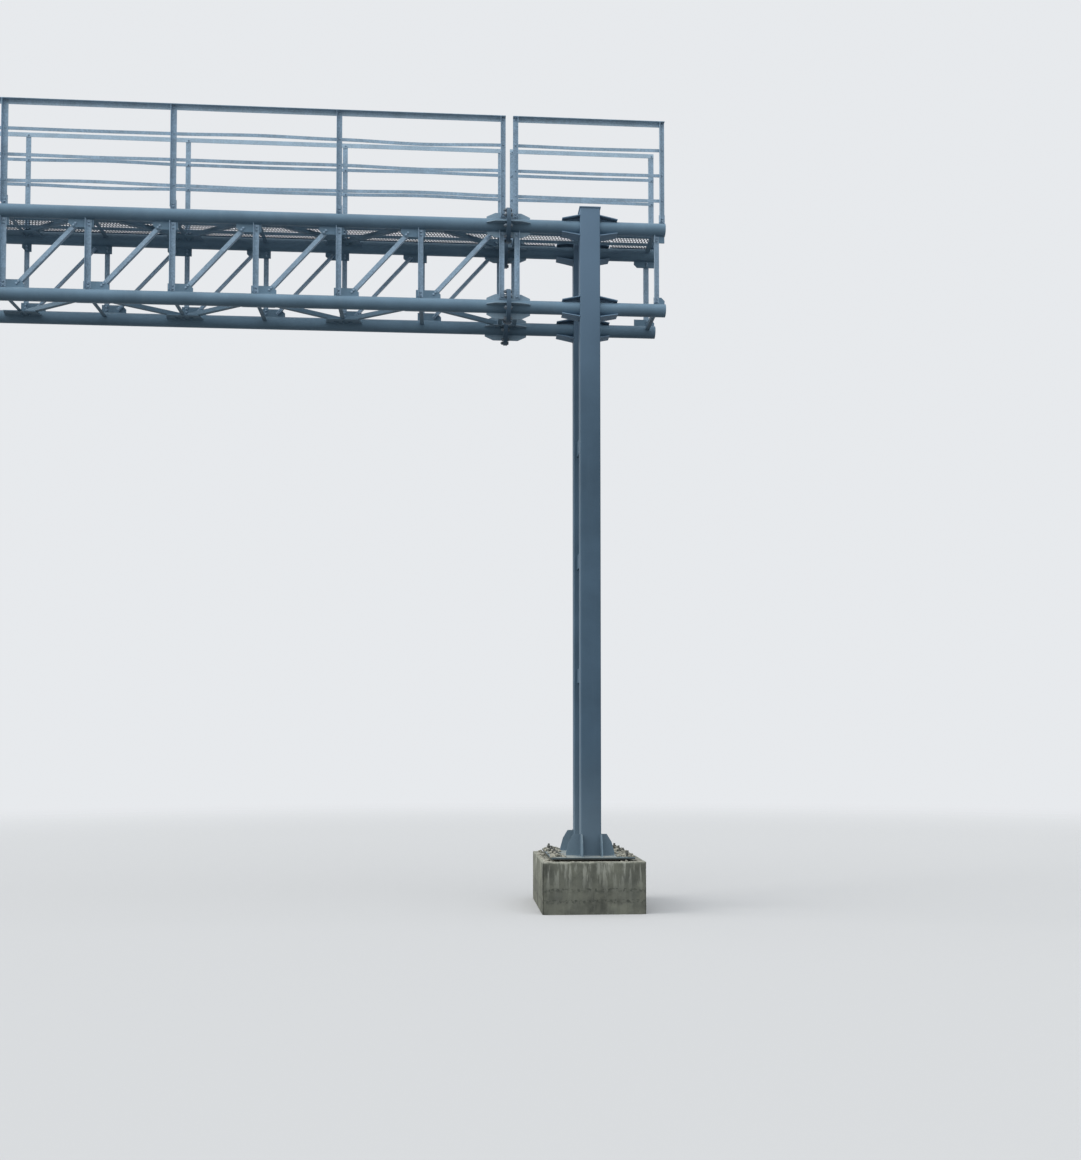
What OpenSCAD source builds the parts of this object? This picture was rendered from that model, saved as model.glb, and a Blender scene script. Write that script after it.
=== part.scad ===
// Overhead sign gantry: one leg with its head, and a six-bay walkway truss that runs off to the left.
// X runs along the truss, Y away from the viewer, Z up. The origin is the centre of the block's underside.

/* [Foundation] */
// Width of the concrete block along the truss
block_w = 1240; // [1160:10:1500]
// Depth of the concrete block across the truss
block_d = 1740; // [1640:10:2000]
// Height of the concrete block
block_h = 620; // [400:10:900]
// Bevel along the block's upper and upright edges
block_bevel = 15; // [5:1:30]
// Thickness of the mortar bed under the base plate
grout_t = 23; // [10:1:30]
// How far the mortar bed stays inside the base plate's edge
grout_inset = 110; // [60:5:130]
// Width of the base plate along the truss
base_w = 1010; // [960:10:1100]
// Depth of the base plate across the truss
base_d = 1500; // [1460:10:1600]
// Thickness of the base plate
base_t = 22; // [16:1:40]
// Height of the base gussets
base_gusset_h = 258; // [200:2:320]
// How far the base gussets reach out from the column
base_gusset_length = 172; // [160:2:225]
// Width of a base gusset at its top
base_gusset_top = 78; // [40:1:90]
// Reach of a base gusset's shoulder from the column
base_gusset_shoulder = 138; // [110:1:150]
// Height of a base gusset's shoulder
base_gusset_shoulder_h = 160; // [120:1:180]
// Height of a base gusset at its tip
base_gusset_tip = 35; // [20:1:80]

/* [Column] */
// Rise of the column's top over the upper chords
column_rise = 150; // [100:5:180]
// Width of each box branch along the truss
branch_w = 250; // [220:2:280]
// Depth of each box branch across the truss
branch_d = 200; // [180:2:220]
// Thickness of the cap plates
cap_t = 12; // [8:1:20]
// Overhang of the cap plates all round
cap_over = 8; // [2:1:15]
// Height of the lowest pair of batten plates, at their middle
batten_z = 2895; // [2000:5:3000]
// Spacing of the batten plates
batten_step = 1467; // [1000:1:1500]
// Number of batten levels
batten_count = 3; // [2:1:3]
// Height of a batten plate
batten_h = 180; // [120:5:240]
// How far the battens are set in from the branch sides
batten_inset = 42; // [20:1:60]

/* [Truss] */
// Height of the lower chords' axes above the ground
chord_z = 7430; // [7380:5:7450]
// Height of the truss between chord axes
truss_h = 1020; // [1000:5:1040]
// Width of the truss between chord axes
truss_w = 800; // [790:2:840]
// Outside diameter of the chord tubes
chord_d = 159; // [152:1:168]
// Number of whole bays in the span section
bays = 6; // [2:2:6]
// Length of one bay
bay = 1000; // [900:10:1100]
// Column axis to the splice with the span section
head_left = 1010; // [980:5:1100]
// Column axis to the free end of the head
head_right = 950; // [900:5:1050]
// Splice face to the nearest panel point of the span
near_stub = 80; // [78:1:90]
// Last panel point to the far splice face
far_stub = 800; // [790:5:900]
// Leg of the upright angles
upright_leg = 63; // [56:1:66]
// Leg of the diagonal and upper cross angles
brace_leg = 50; // [40:1:56]
// Thickness of all angles
angle_t = 5; // [4:0.5:6]
// Root fillet of all angles
root_r = 5; // [3:0.5:6]
// Offset of a diagonal from the panel point along the chord
diagonal_shift = 40; // [20:1:60]
// Height over the chord at which a diagonal's axis ends
diagonal_end = 34; // [30:1:45]
// Gap between an upright's end and the chord
upright_gap = 8; // [4:1:15]

/* [Plates] */
// Thickness of gussets, splice ribs and railing lugs
plate_t = 12; // [8:1:16]
// Height of the face gussets over the chord
gusset_h = 100; // [90:1:120]
// Reach of a face gusset past the panel point on the diagonal's side
gusset_long = 245; // [220:1:280]
// Reach of a face gusset past the panel point on the other side
gusset_short = 58; // [50:1:70]
// Length of a plan gusset along the chord
plan_gusset_length = 460; // [400:5:500]
// Corner cut of a face gusset
gusset_cut = 50; // [30:1:60]
// Depth of a plan gusset
plan_gusset_d = 150; // [120:1:165]
// Corner cut of a plan gusset along the chord
plan_gusset_cut = 30; // [15:1:60]
// Distance of a plan brace's end from the chord, along the brace
plan_brace_gap = 62; // [55:1:75]

/* [Splices] */
// Diameter of the splice flanges
flange_d = 420; // [410:1:440]
// Thickness of one splice flange
flange_t = 25; // [20:1:30]
// Pitch circle of the splice bolts
bolt_circle_d = 360; // [350:1:370]
// Number of splice bolts
bolt_count = 8; // [4:4:8]
// Diameter of the splice bolt holes
bolt_hole_d = 26; // [22:1:30]
// Height of the splice ribs over the chord
rib_h = 75; // [60:1:90]
// Length of the splice ribs from the splice face
rib_length = 270; // [240:5:290]
// Length of the slope at a rib's end
rib_slope = 110; // [80:1:120]
// Height of a rib at its end
rib_end = 25; // [10:1:40]

/* [Column joints] */
// Reach of the sloping haunch plates from the column
haunch_length = 220; // [160:5:260]
// Width of a haunch plate at the column
haunch_w = 200; // [180:2:220]
// Width of a haunch plate at its tip
haunch_tip = 170; // [120:2:178]
// Rise of a haunch plate off the chord, at the column
haunch_rise = 40; // [20:1:50]
// Thickness of the haunch plates
haunch_t = 10; // [8:1:16]

/* [Walkway] */
// Leg of the walkway stringers
stringer_leg = 40; // [36:1:50]
// Offset of the outer stringers from the truss centre
stringer_y = 228; // [200:2:230]
// Clearance between the walkway panels and the railing lugs
walkway_clearance = 4; // [2:1:40]
// Thickness of the walkway panels
walkway_t = 4; // [3:0.5:6]
// Gap between a walkway panel and the splice face
walkway_gap = 100; // [70:5:140]
// Clearance of the head panel round the column and its haunches
column_gap = 12; // [5:1:20]

/* [Railing] */
// Height of the handrail's top over the chord's top
railing_h = 1284; // [1150:2:1400]
// Height of the lowest rail's middle over the chord's top
rail_first = 290; // [200:5:300]
// Spacing of the flat rails
rail_step = 321; // [250:1:330]
// Number of flat rails
rail_count = 3; // [1:1:3]
// Width of a flat rail
rail_w = 40; // [30:1:50]
// Thickness of a flat rail
rail_t = 4; // [3:0.5:6]
// Leg of the post angles
post_leg = 63; // [50:1:66]
// Leg of the handrail angle
handrail_leg = 56; // [50:1:60]
// Rail overhang past the outermost posts
rail_over = 32; // [32:1:36]
// Splice face to the span's last post
post_near = 66; // [62:1:70]
// Splice face to the head's first post
post_head = 88; // [80:1:95]
// Height of a railing lug
lug_h = 110; // [80:5:140]
// Width of a railing lug
lug_w = 74; // [66:1:90]

/* [Head end] */
// Free end of the head to its last uprights
end_upright = 107; // [105:1:125]
// Splice face to the head's first uprights
first_upright = 107; // [95:1:120]
// Reach of the near end gussets towards the column
end_gusset_front = 36; // [34:1:60]
// Reach of the far end gussets towards the column
end_gusset_rear = 165; // [100:5:200]
// Height of the end gussets
end_gusset_h = 85; // [70:1:100]
// Corner cut of the end gussets
end_gusset_cut = 42; // [20:1:50]
// Thickness of the chord end caps
end_cap_t = 6; // [4:1:10]

/* [Hidden] */
$fn = 64;
through = 1;
r = chord_d / 2;
lower_z = chord_z;
upper_z = chord_z + truss_h;
side_y = truss_w / 2;
plate_half = plate_t / 2;
base_z = block_h + grout_t;
foot_z = base_z + base_t;
splice_x = -head_left;
far_x = splice_x - near_stub - bays * bay - far_stub;
crown_z = upper_z + r;
branch_top = crown_z + column_rise - cap_t;
walkway_z = upper_z + plate_half + brace_leg + stringer_leg;
walkway_w = 2 * (side_y - plate_half - walkway_clearance);
end_reach = end_upright - end_cap_t;
LEVELS = [lower_z, upper_z];
SIDES = [-1, 1];
PANELS = [for (i = [0:bays]) i];

// Position of a panel point of the span; 0 is the far one
function panel_x(i) = splice_x - near_stub - (bays - i) * bay;

// Railing posts on lugs: every second panel point, and the head's end
function lug_posts() = [for (i = [0:2:bays - 1]) panel_x(i), head_right - lug_w / 2];

// Ends of the two railing sections: the span's and the head's
function railing_ends() = [
    [far_x + walkway_gap, splice_x - post_near + rail_over],
    [splice_x + post_head - rail_over, head_right - lug_w / 2 + rail_over]
];

// Angle section with its heel at the origin and its legs along the two positive axes
module angle_section(leg) {
    union() {
        square([leg, angle_t]);
        square([angle_t, leg]);
        translate([angle_t, angle_t])
            difference() {
                square(root_r);
                translate([root_r, root_r])
                    circle(root_r);
            }
    }
}

// Lays a drawing of the Y-Z plane along X
module along_x(length) {
    rotate([90, 0, 90])
        linear_extrude(length)
            children();
}

// Lays a drawing of the X-Z plane along Y, from y to y + thickness
module along_y(y, thickness) {
    translate([0, y + thickness, 0])
        rotate([90, 0, 0])
            linear_extrude(thickness)
                children();
}

// Puts what is drawn for the far face, at positive Y, on the chosen face
module on_side(side) {
    scale([1, side, 1])
        children();
}

module tube(x0, x1, d) {
    translate([x0, 0, 0])
        rotate([0, 90, 0])
            cylinder(d = d, h = x1 - x0);
}

module chord(x0, x1, side, z) {
    translate([0, side * side_y, z])
        tube(x0, x1, chord_d);
}

// Flange at a splice face, on its +X side
module flange(x) {
    translate([x, 0, 0])
        rotate([0, 90, 0])
            difference() {
                cylinder(d = flange_d, h = flange_t);
                for (i = [0:bolt_count - 1])
                    rotate((i + 0.5) * 360 / bolt_count)
                        translate([bolt_circle_d / 2, 0, -through])
                            cylinder(d = bolt_hole_d, h = flange_t + 2 * through);
            }
}

// Outline of a rib, from the flange outwards along X, standing on the chord
module rib_outline() {
    polygon([
        [flange_t, r],
        [rib_length, r],
        [rib_length, r + rib_end],
        [rib_length - rib_slope, r + rib_h],
        [flange_t, r + rib_h]
    ]);
}

// Four ribs round a chord, on the +X side of a splice face
module rib_cross() {
    for (turn = [0:90:270])
        rotate([turn, 0, 0])
            along_y(-plate_half, plate_t)
                rib_outline();
}

module each_chord() {
    for (z = LEVELS)
        for (side = SIDES)
            translate([0, side * side_y, z])
                children();
}

// Upright angle on the outer face of the gussets; heel side is -1 or 1 along X
module upright(x, heel) {
    translate([x - heel * upright_leg / 2, side_y + plate_half, lower_z + r + upright_gap])
        scale([heel, 1, 1])
            linear_extrude(truss_h - 2 * (r + upright_gap))
                angle_section(upright_leg);
}

// Diagonal of one bay on the inner face of the gussets, rising along X
module diagonal(i) {
    run = bay - 2 * diagonal_shift;
    slope = atan2(truss_h, run);
    trim = (r + diagonal_end) / sin(slope);
    length = norm([run, truss_h]) - 2 * trim;
    translate([panel_x(i) + diagonal_shift, side_y - plate_half, lower_z])
        rotate([0, -slope, 0])
            translate([trim, 0, -brace_leg / 2])
                along_x(length)
                    mirror([1, 0])
                        angle_section(brace_leg);
}

// Face gusset on the chord, reaching left and right of the panel point
module gusset_outline(left, right, height, cut) {
    polygon([
        [-left, 0],
        [right, 0],
        [right, height - cut],
        [right - cut, height],
        [-left, height]
    ]);
}

module lower_gusset(x, left, right, height, cut) {
    translate([x, 0, lower_z + r])
        along_y(side_y - plate_half, plate_t)
            gusset_outline(left, right, height, cut);
}

module upper_gusset(x, left, right, height, cut) {
    translate([x, 0, upper_z - r])
        along_y(side_y - plate_half, plate_t)
            rotate(180)
                gusset_outline(right, left, height, cut);
}

module span_gussets() {
    for (i = [0:bays - 1])
        lower_gusset(panel_x(i), gusset_short, gusset_long, gusset_h, gusset_cut);
    for (i = [1:bays - 1])
        upper_gusset(panel_x(i), gusset_long, gusset_short, gusset_h, gusset_cut);
    upper_gusset(panel_x(0), gusset_short, gusset_short, gusset_h, gusset_cut);
}

module span_uprights() {
    for (i = PANELS)
        upright(panel_x(i), 1);
}

module span_diagonals() {
    for (i = [0:bays - 1])
        diagonal(i);
}

// Cross angles between the chords' inner sides, resting on the plan gussets and ribs
module cross_angles(z) {
    for (x = [for (i = PANELS) panel_x(i), splice_x + first_upright, head_right - end_upright])
        translate([x - brace_leg / 2, -side_y + r, z + plate_half])
            rotate([-90, -90, 0])
                linear_extrude(truss_w - chord_d)
                    angle_section(brace_leg);
}

// Plan brace on the gussets from the far chord at panel a to the near chord at panel b, its heel to the near side
module plan_brace(a, b, z) {
    dx = panel_x(b) - panel_x(a);
    dy = -(truss_w - chord_d);
    full = norm([dx, dy]);
    trim = plan_brace_gap;
    heel = sign(dx);
    translate([panel_x(a), side_y - r, z + plate_half])
        rotate([0, 0, atan2(dy, dx)])
            translate([trim, -heel * brace_leg / 2, 0])
                scale([1, heel, 1])
                    along_x(full - 2 * trim)
                        angle_section(brace_leg);
}

module plan_braces(z) {
    for (i = [0:2:bays - 1]) {
        plan_brace(i, i + 1, z);
        plan_brace(i + 2, i + 1, z);
    }
}

// Horizontal gusset against the inner side of a chord
module plan_gusset(x, side, z) {
    half = plan_gusset_length / 2;
    cut = plan_gusset_cut;
    on_side(side)
        translate([x, side_y - r, z - plate_half])
            linear_extrude(plate_t)
                polygon([
                    [-half, 0],
                    [half, 0],
                    [half - cut, -plan_gusset_d],
                    [cut - half, -plan_gusset_d]
                ]);
}

// Post angle on the outer face of its lug or rib; heel side is -1 or 1 along X
module post(x, heel) {
    foot = crown_z + upright_gap;
    translate([x - heel * post_leg / 2, side_y + plate_half, foot])
        scale([heel, 1, 1])
            linear_extrude(crown_z + railing_h - angle_t - root_r - foot)
                angle_section(post_leg);
}

module railing_posts() {
    for (x = lug_posts())
        post(x, 1);
    post(splice_x - post_near, 1);
    post(splice_x + post_head, -1);
}

// Flat rails on the posts' inner face
module flat_rails() {
    for (ends = railing_ends())
        for (i = [0:rail_count - 1])
            translate([
                ends[0],
                side_y + plate_half - rail_t,
                crown_z + rail_first + i * rail_step - rail_w / 2
            ])
                cube([ends[1] - ends[0], rail_t, rail_w]);
}

// Handrail angles: one leg down the posts' inner face, one out over their tops
module handrails() {
    for (ends = railing_ends())
        translate([ends[0], side_y + plate_half, crown_z + railing_h])
            along_x(ends[1] - ends[0])
                handrail_section();
}

module handrail_section() {
    translate([-angle_t, 0])
        mirror([0, 1])
            angle_section(handrail_leg);
}

// Standing plate of the column foot with a shoulder, reaching out along X
module base_gusset() {
    along_y(-plate_half, plate_t)
        polygon([
            [0, 0],
            [base_gusset_length, 0],
            [base_gusset_length, base_gusset_tip],
            [base_gusset_shoulder, base_gusset_shoulder_h],
            [base_gusset_top, base_gusset_h],
            [0, base_gusset_h]
        ]);
}

module branch() {
    translate([-branch_w / 2, side_y - branch_d / 2, foot_z])
        cube([branch_w, branch_d, branch_top - foot_z]);
}

module stringers(x0, x1) {
    for (y = [-stringer_y, 0, stringer_y])
        translate([x0, y, walkway_z])
            along_x(x1 - x0)
                mirror([0, 1])
                    angle_section(stringer_leg);
}

module foundation_block() {
    b = block_bevel;
    w = block_w / 2;
    d = block_d / 2;
    color("darkgray")
        intersection() {
            linear_extrude(block_h)
                polygon([
                    [b - w, -d], [w - b, -d], [w, b - d], [w, d - b],
                    [w - b, d], [b - w, d], [-w, d - b], [-w, b - d]
                ]);
            along_y(-d, block_d)
                polygon([[-w, 0], [w, 0], [w, block_h - b], [w - b, block_h], [b - w, block_h], [-w, block_h - b]]);
            translate([-w, 0, 0])
                along_x(block_w)
                    polygon([[-d, 0], [d, 0], [d, block_h - b], [d - b, block_h], [b - d, block_h], [-d, block_h - b]]);
        }
}

module grout_bed() {
    w = base_w - 2 * grout_inset;
    d = base_d - 2 * grout_inset;
    color("dimgray")
        translate([-w / 2, -d / 2, block_h])
            cube([w, d, grout_t]);
}

module base_plate() {
    color("slategray")
        translate([-base_w / 2, -base_d / 2, base_z])
            cube([base_w, base_d, base_t]);
}

module base_gussets() {
    color("slategray")
        for (side = SIDES)
            for (end = SIDES) {
                translate([end * branch_w / 2, side * side_y, foot_z])
                    rotate(end > 0 ? 0 : 180)
                        base_gusset();
                translate([end * (branch_w - plate_t) / 2, side * (side_y + branch_d / 2), foot_z])
                    rotate(side * 90)
                        base_gusset();
            }
}

module column_front_branch() {
    color("slategray")
        on_side(-1)
            branch();
}

module column_rear_branch() {
    color("slategray")
        on_side(1)
            branch();
}

module column_battens() {
    gap = truss_w - branch_d;
    color("slategray")
        for (i = [0:batten_count - 1])
            for (end = SIDES)
                translate([
                    end * (branch_w / 2 - batten_inset - plate_half) - plate_half,
                    -gap / 2,
                    batten_z + i * batten_step - batten_h / 2
                ])
                    cube([plate_t, gap, batten_h]);
}

module column_caps() {
    color("slategray")
        for (side = SIDES)
            translate([
                -branch_w / 2 - cap_over,
                side * side_y - branch_d / 2 - cap_over,
                branch_top
            ])
                cube([branch_w + 2 * cap_over, branch_d + 2 * cap_over, cap_t]);
}

// Haunch on a chord's crown: a plate sloping down from the column, on an upright rib
module haunch() {
    x0 = branch_w / 2;
    x1 = x0 + haunch_length;
    peak = r + haunch_rise;
    intersection() {
        linear_extrude(peak + haunch_t)
            polygon([[x0, -haunch_w / 2], [x1, -haunch_tip / 2], [x1, haunch_tip / 2], [x0, haunch_w / 2]]);
        along_y(-haunch_w / 2, haunch_w)
            polygon([[x0, peak], [x1, r], [x1, r + haunch_t], [x0, peak + haunch_t]]);
    }
    along_y(-plate_half, plate_t)
        polygon([[x0, r], [x1, r], [x0, peak]]);
}

module haunch_plates() {
    color("slategray")
        each_chord()
            for (end = SIDES)
                for (face = SIDES)
                    scale([end, 1, face])
                        haunch();
}

module head_chord(side, z) {
    color("lightslategray") {
        chord(splice_x + flange_t, -branch_w / 2, side, z);
        chord(branch_w / 2, head_right - end_cap_t, side, z);
    }
}

module head_top_front_chord() {
    head_chord(-1, upper_z);
}

module head_top_rear_chord() {
    head_chord(1, upper_z);
}

module head_bottom_front_chord() {
    head_chord(-1, lower_z);
}

module head_bottom_rear_chord() {
    head_chord(1, lower_z);
}

module head_chord_caps() {
    color("lightslategray")
        each_chord()
            tube(head_right - end_cap_t, head_right, chord_d);
}

module head_flanges() {
    color("slategray")
        each_chord()
            flange(splice_x);
}

module head_ribs() {
    color("slategray")
        each_chord()
            translate([splice_x, 0, 0])
                rib_cross();
}

module head_uprights() {
    color("lightslategray")
        for (side = SIDES)
            on_side(side) {
                upright(splice_x + first_upright, -1);
                upright(head_right - end_upright, 1);
            }
}

module head_end_gussets() {
    x = head_right - end_upright;
    color("slategray")
        for (side = SIDES) {
            reach = side < 0 ? end_gusset_front : end_gusset_rear;
            on_side(side) {
                lower_gusset(x, reach, end_reach, end_gusset_h, end_gusset_cut);
                upper_gusset(x, reach, end_reach, end_gusset_h, end_gusset_cut);
            }
        }
}

module head_walkway() {
    notch_x = branch_w / 2 + haunch_length + column_gap;
    notch_y = side_y - branch_d / 2 - cap_over - column_gap;
    color("gray")
        translate([0, 0, walkway_z])
            linear_extrude(walkway_t)
                difference() {
                    translate([splice_x + walkway_gap, -walkway_w / 2])
                        square([head_right - end_cap_t - splice_x - walkway_gap, walkway_w]);
                    for (side = SIDES)
                        scale([1, side])
                            translate([-notch_x, notch_y])
                                square([2 * notch_x, walkway_w]);
                }
}

module span_chord(side, z) {
    color("lightslategray")
        chord(far_x + flange_t, splice_x - flange_t, side, z);
}

module span_top_front_chord() {
    span_chord(-1, upper_z);
}

module span_top_rear_chord() {
    span_chord(1, upper_z);
}

module span_bottom_front_chord() {
    span_chord(-1, lower_z);
}

module span_bottom_rear_chord() {
    span_chord(1, lower_z);
}

module span_flanges() {
    color("slategray")
        each_chord() {
            flange(far_x);
            flange(splice_x - flange_t);
        }
}

module span_ribs() {
    color("slategray")
        each_chord() {
            translate([far_x, 0, 0])
                rib_cross();
            translate([splice_x, 0, 0])
                scale([-1, 1, 1])
                    rib_cross();
        }
}

module span_front_uprights() {
    color("lightslategray")
        on_side(-1)
            span_uprights();
}

module span_rear_uprights() {
    color("lightslategray")
        on_side(1)
            span_uprights();
}

module span_front_diagonals() {
    color("lightslategray")
        on_side(-1)
            span_diagonals();
}

module span_rear_diagonals() {
    color("lightslategray")
        on_side(1)
            span_diagonals();
}

module span_front_gussets() {
    color("slategray")
        on_side(-1)
            span_gussets();
}

module span_rear_gussets() {
    color("slategray")
        on_side(1)
            span_gussets();
}

module top_cross_angles() {
    color("slategray")
        cross_angles(upper_z);
}

module bottom_cross_angles() {
    color("slategray")
        cross_angles(lower_z);
}

module top_plan_braces() {
    color("slategray")
        plan_braces(upper_z);
}

module bottom_plan_braces() {
    color("slategray")
        plan_braces(lower_z);
}

module plan_gussets() {
    color("slategray")
        for (z = LEVELS) {
            for (i = [0:2:bays - 1])
                plan_gusset(panel_x(i), 1, z);
            for (i = [1:2:bays - 1])
                plan_gusset(panel_x(i), -1, z);
        }
}

module walkway_stringers() {
    color("slategray") {
        stringers(far_x + walkway_gap, splice_x - walkway_gap);
        stringers(splice_x + walkway_gap, head_right - end_cap_t);
    }
}

module span_walkway() {
    x0 = far_x + walkway_gap;
    color("gray")
        translate([x0, -walkway_w / 2, walkway_z])
            cube([splice_x - walkway_gap - x0, walkway_w, walkway_t]);
}

// Lugs stand on the upper chords; the posts beside the splice bolt to the ribs instead
module railing_lugs() {
    color("slategray")
        for (side = SIDES)
            for (x = lug_posts())
                translate([x - lug_w / 2, side * side_y - plate_half, crown_z])
                    cube([lug_w, plate_t, lug_h]);
}

module front_railing_posts() {
    color("lightsteelblue")
        on_side(-1)
            railing_posts();
}

module rear_railing_posts() {
    color("lightsteelblue")
        on_side(1)
            railing_posts();
}

module front_flat_rails() {
    color("lightsteelblue")
        on_side(-1)
            flat_rails();
}

module rear_flat_rails() {
    color("lightsteelblue")
        on_side(1)
            flat_rails();
}

module front_handrails() {
    color("lightsteelblue")
        on_side(-1)
            handrails();
}

module rear_handrails() {
    color("lightsteelblue")
        on_side(1)
            handrails();
}

foundation_block();
grout_bed();
base_plate();
base_gussets();
column_front_branch();
column_rear_branch();
column_battens();
column_caps();
haunch_plates();
head_top_front_chord();
head_top_rear_chord();
head_bottom_front_chord();
head_bottom_rear_chord();
head_chord_caps();
head_flanges();
head_ribs();
head_uprights();
head_end_gussets();
span_top_front_chord();
span_top_rear_chord();
span_bottom_front_chord();
span_bottom_rear_chord();
span_flanges();
span_ribs();
span_front_uprights();
span_rear_uprights();
span_front_diagonals();
span_rear_diagonals();
span_front_gussets();
span_rear_gussets();
top_cross_angles();
bottom_cross_angles();
top_plan_braces();
bottom_plan_braces();
plan_gussets();
walkway_stringers();
head_walkway();
span_walkway();
railing_lugs();
front_railing_posts();
rear_railing_posts();
front_flat_rails();
rear_flat_rails();
front_handrails();
rear_handrails();
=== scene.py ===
import math
import bpy
import numpy as np
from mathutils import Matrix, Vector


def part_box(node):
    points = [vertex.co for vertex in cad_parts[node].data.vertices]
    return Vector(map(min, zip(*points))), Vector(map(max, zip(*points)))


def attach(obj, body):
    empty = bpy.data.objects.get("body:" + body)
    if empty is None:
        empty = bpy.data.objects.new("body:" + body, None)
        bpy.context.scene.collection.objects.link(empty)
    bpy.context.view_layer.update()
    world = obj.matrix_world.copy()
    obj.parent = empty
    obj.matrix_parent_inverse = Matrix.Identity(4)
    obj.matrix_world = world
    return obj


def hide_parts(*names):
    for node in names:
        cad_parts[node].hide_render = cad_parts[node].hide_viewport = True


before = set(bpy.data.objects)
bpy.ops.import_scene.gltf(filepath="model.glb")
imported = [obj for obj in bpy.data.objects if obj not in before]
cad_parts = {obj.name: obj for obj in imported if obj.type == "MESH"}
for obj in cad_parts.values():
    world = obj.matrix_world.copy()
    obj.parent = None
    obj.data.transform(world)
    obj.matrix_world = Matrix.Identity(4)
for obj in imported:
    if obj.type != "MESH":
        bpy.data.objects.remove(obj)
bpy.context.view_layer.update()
chance = np.random.default_rng(41)


# Ends of a frame node along one axis, 0 to 2
def reachOf(node, axis):
    low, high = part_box(node)
    return low[axis], high[axis]


# Every pair (first, second) of two rows of numbers, the second changing faster
def everyPair(first, second):
    return np.column_stack([np.repeat(first, len(second)), np.tile(second, len(first))])


# 1 and -1 in turn
def takeTurns(count):
    return np.where(np.arange(count) % 2 == 0, 1.0, -1.0)


# Points (x, y, z) from numbers or arrays that spread to one shape
def gatherPoints(x, y, z):
    return np.stack(np.broadcast_arrays(x, y, z), axis=-1)


# Ways round the X axis: (0, cos, sin) of each angle
def roundX(angle):
    return gatherPoints(0.0, np.cos(angle), np.sin(angle))


# Ways round the Z axis: (cos, sin, 0) of each angle
def roundZ(angle):
    return gatherPoints(np.cos(angle), np.sin(angle), 0.0)


# Places shared by the pieces, in metres: X along the truss, Y to the back, Z up
gantry = {
    "chordAxesY": np.array([-0.4, 0.4]),
    "chordAxesZ": np.array([7.43, 8.45]),
    "chordRadius": 0.0795,
    "plateHalf": 0.006,
    "spliceX": -1.01,
    "farX": reachOf("span_flanges", 0)[0],
    "flangeThick": 0.025,
    "firstPanelX": -7.09,
    "bay": 1.0,
    "panelCount": 7,
    "headUprightX": np.array([-0.903, 0.843]),
}
axesY, axesZ = gantry["chordAxesY"], gantry["chordAxesZ"]
chordRadius, plateHalf = gantry["chordRadius"], gantry["plateHalf"]
chordAxes = everyPair(axesY, axesZ)  # four chords as (Y, Z)
panelX = gantry["firstPanelX"] + gantry["bay"] * np.arange(gantry["panelCount"])
crownZ = axesZ[1] + chordRadius
allUp = np.array([0.0, 0.0, 1.0])
alongX = np.array([1.0, 0.0, 0.0])
alongY = np.array([0.0, 1.0, 0.0])
bothWays = np.array([-1.0, 1.0])


# A shape here is (points, four-sided faces, three-sided faces)
def gatherShapes(shapes):
    counts = np.cumsum([0] + [len(s[0]) for s in shapes])
    points = np.concatenate([s[0] for s in shapes])
    quads = np.concatenate([s[1] + n for s, n in zip(shapes, counts)])
    tris = np.concatenate([s[2] + n for s, n in zip(shapes, counts)])
    return points, quads, tris


# New object in the scene for a mesh, a light or a camera
def addObject(name, data):
    thing = bpy.data.objects.new(name, data)
    bpy.context.scene.collection.objects.link(thing)
    return thing


# Puts a shape into a new mesh object at the origin; smooth faces split at edges sharper than the angle
def makePiece(name, shape, finish, angle):
    points, quads, tris = shape
    mesh = bpy.data.meshes.new(name)
    mesh.vertices.add(len(points))
    mesh.vertices.foreach_set("co", np.ascontiguousarray(points, dtype=np.float32).ravel())
    corners = np.concatenate([quads.ravel(), tris.ravel()]).astype(np.int32)
    starts = np.concatenate([4 * np.arange(len(quads)), 4 * len(quads) + 3 * np.arange(len(tris))])
    mesh.loops.add(len(corners))
    mesh.loops.foreach_set("vertex_index", corners)
    mesh.polygons.add(len(starts))
    mesh.polygons.foreach_set("loop_start", starts.astype(np.int32))
    mesh.polygons.foreach_set("use_smooth", np.ones(len(starts), dtype=bool))
    mesh.update(calc_edges=True)
    mesh.validate()
    mesh.set_sharp_from_angle(angle=math.radians(angle))
    mesh.materials.append(finish)
    piece = addObject(name, mesh)
    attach(piece, "root")
    print("piece", name, len(quads) * 2 + len(tris), "triangles")
    return piece


# Index faces of a grid of rows by columns: each cell joins (r, c), (r, c+1), (r+1, c+1), (r+1, c)
def gridCells(rows, cols, roundRows=False, roundCols=False):
    r = np.arange(rows if roundRows else rows - 1)[:, None]
    c = np.arange(cols if roundCols else cols - 1)[None, :]
    r2 = (r + 1) % rows
    c2 = (c + 1) % cols
    return np.stack([r * cols + c, r * cols + c2, r2 * cols + c2, r2 * cols + c], axis=-1).reshape(-1, 4)


# Closed shape from a stack of rings, (rows, sides, 3): each end is drawn together in one point
def closeRings(rings, low, high):
    rows, sides = rings.shape[:2]
    a = np.arange(sides)
    b = (a + 1) % sides
    last = (rows - 1) * sides
    tris = np.concatenate([
        np.stack([b, a, np.full(sides, rows * sides)], axis=-1),
        np.stack([last + a, last + b, np.full(sides, rows * sides + 1)], axis=-1),
    ])
    points = np.concatenate([rings.reshape(-1, 3), [low, high]])
    return points, gridCells(rows, sides, roundCols=True), tris


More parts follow.
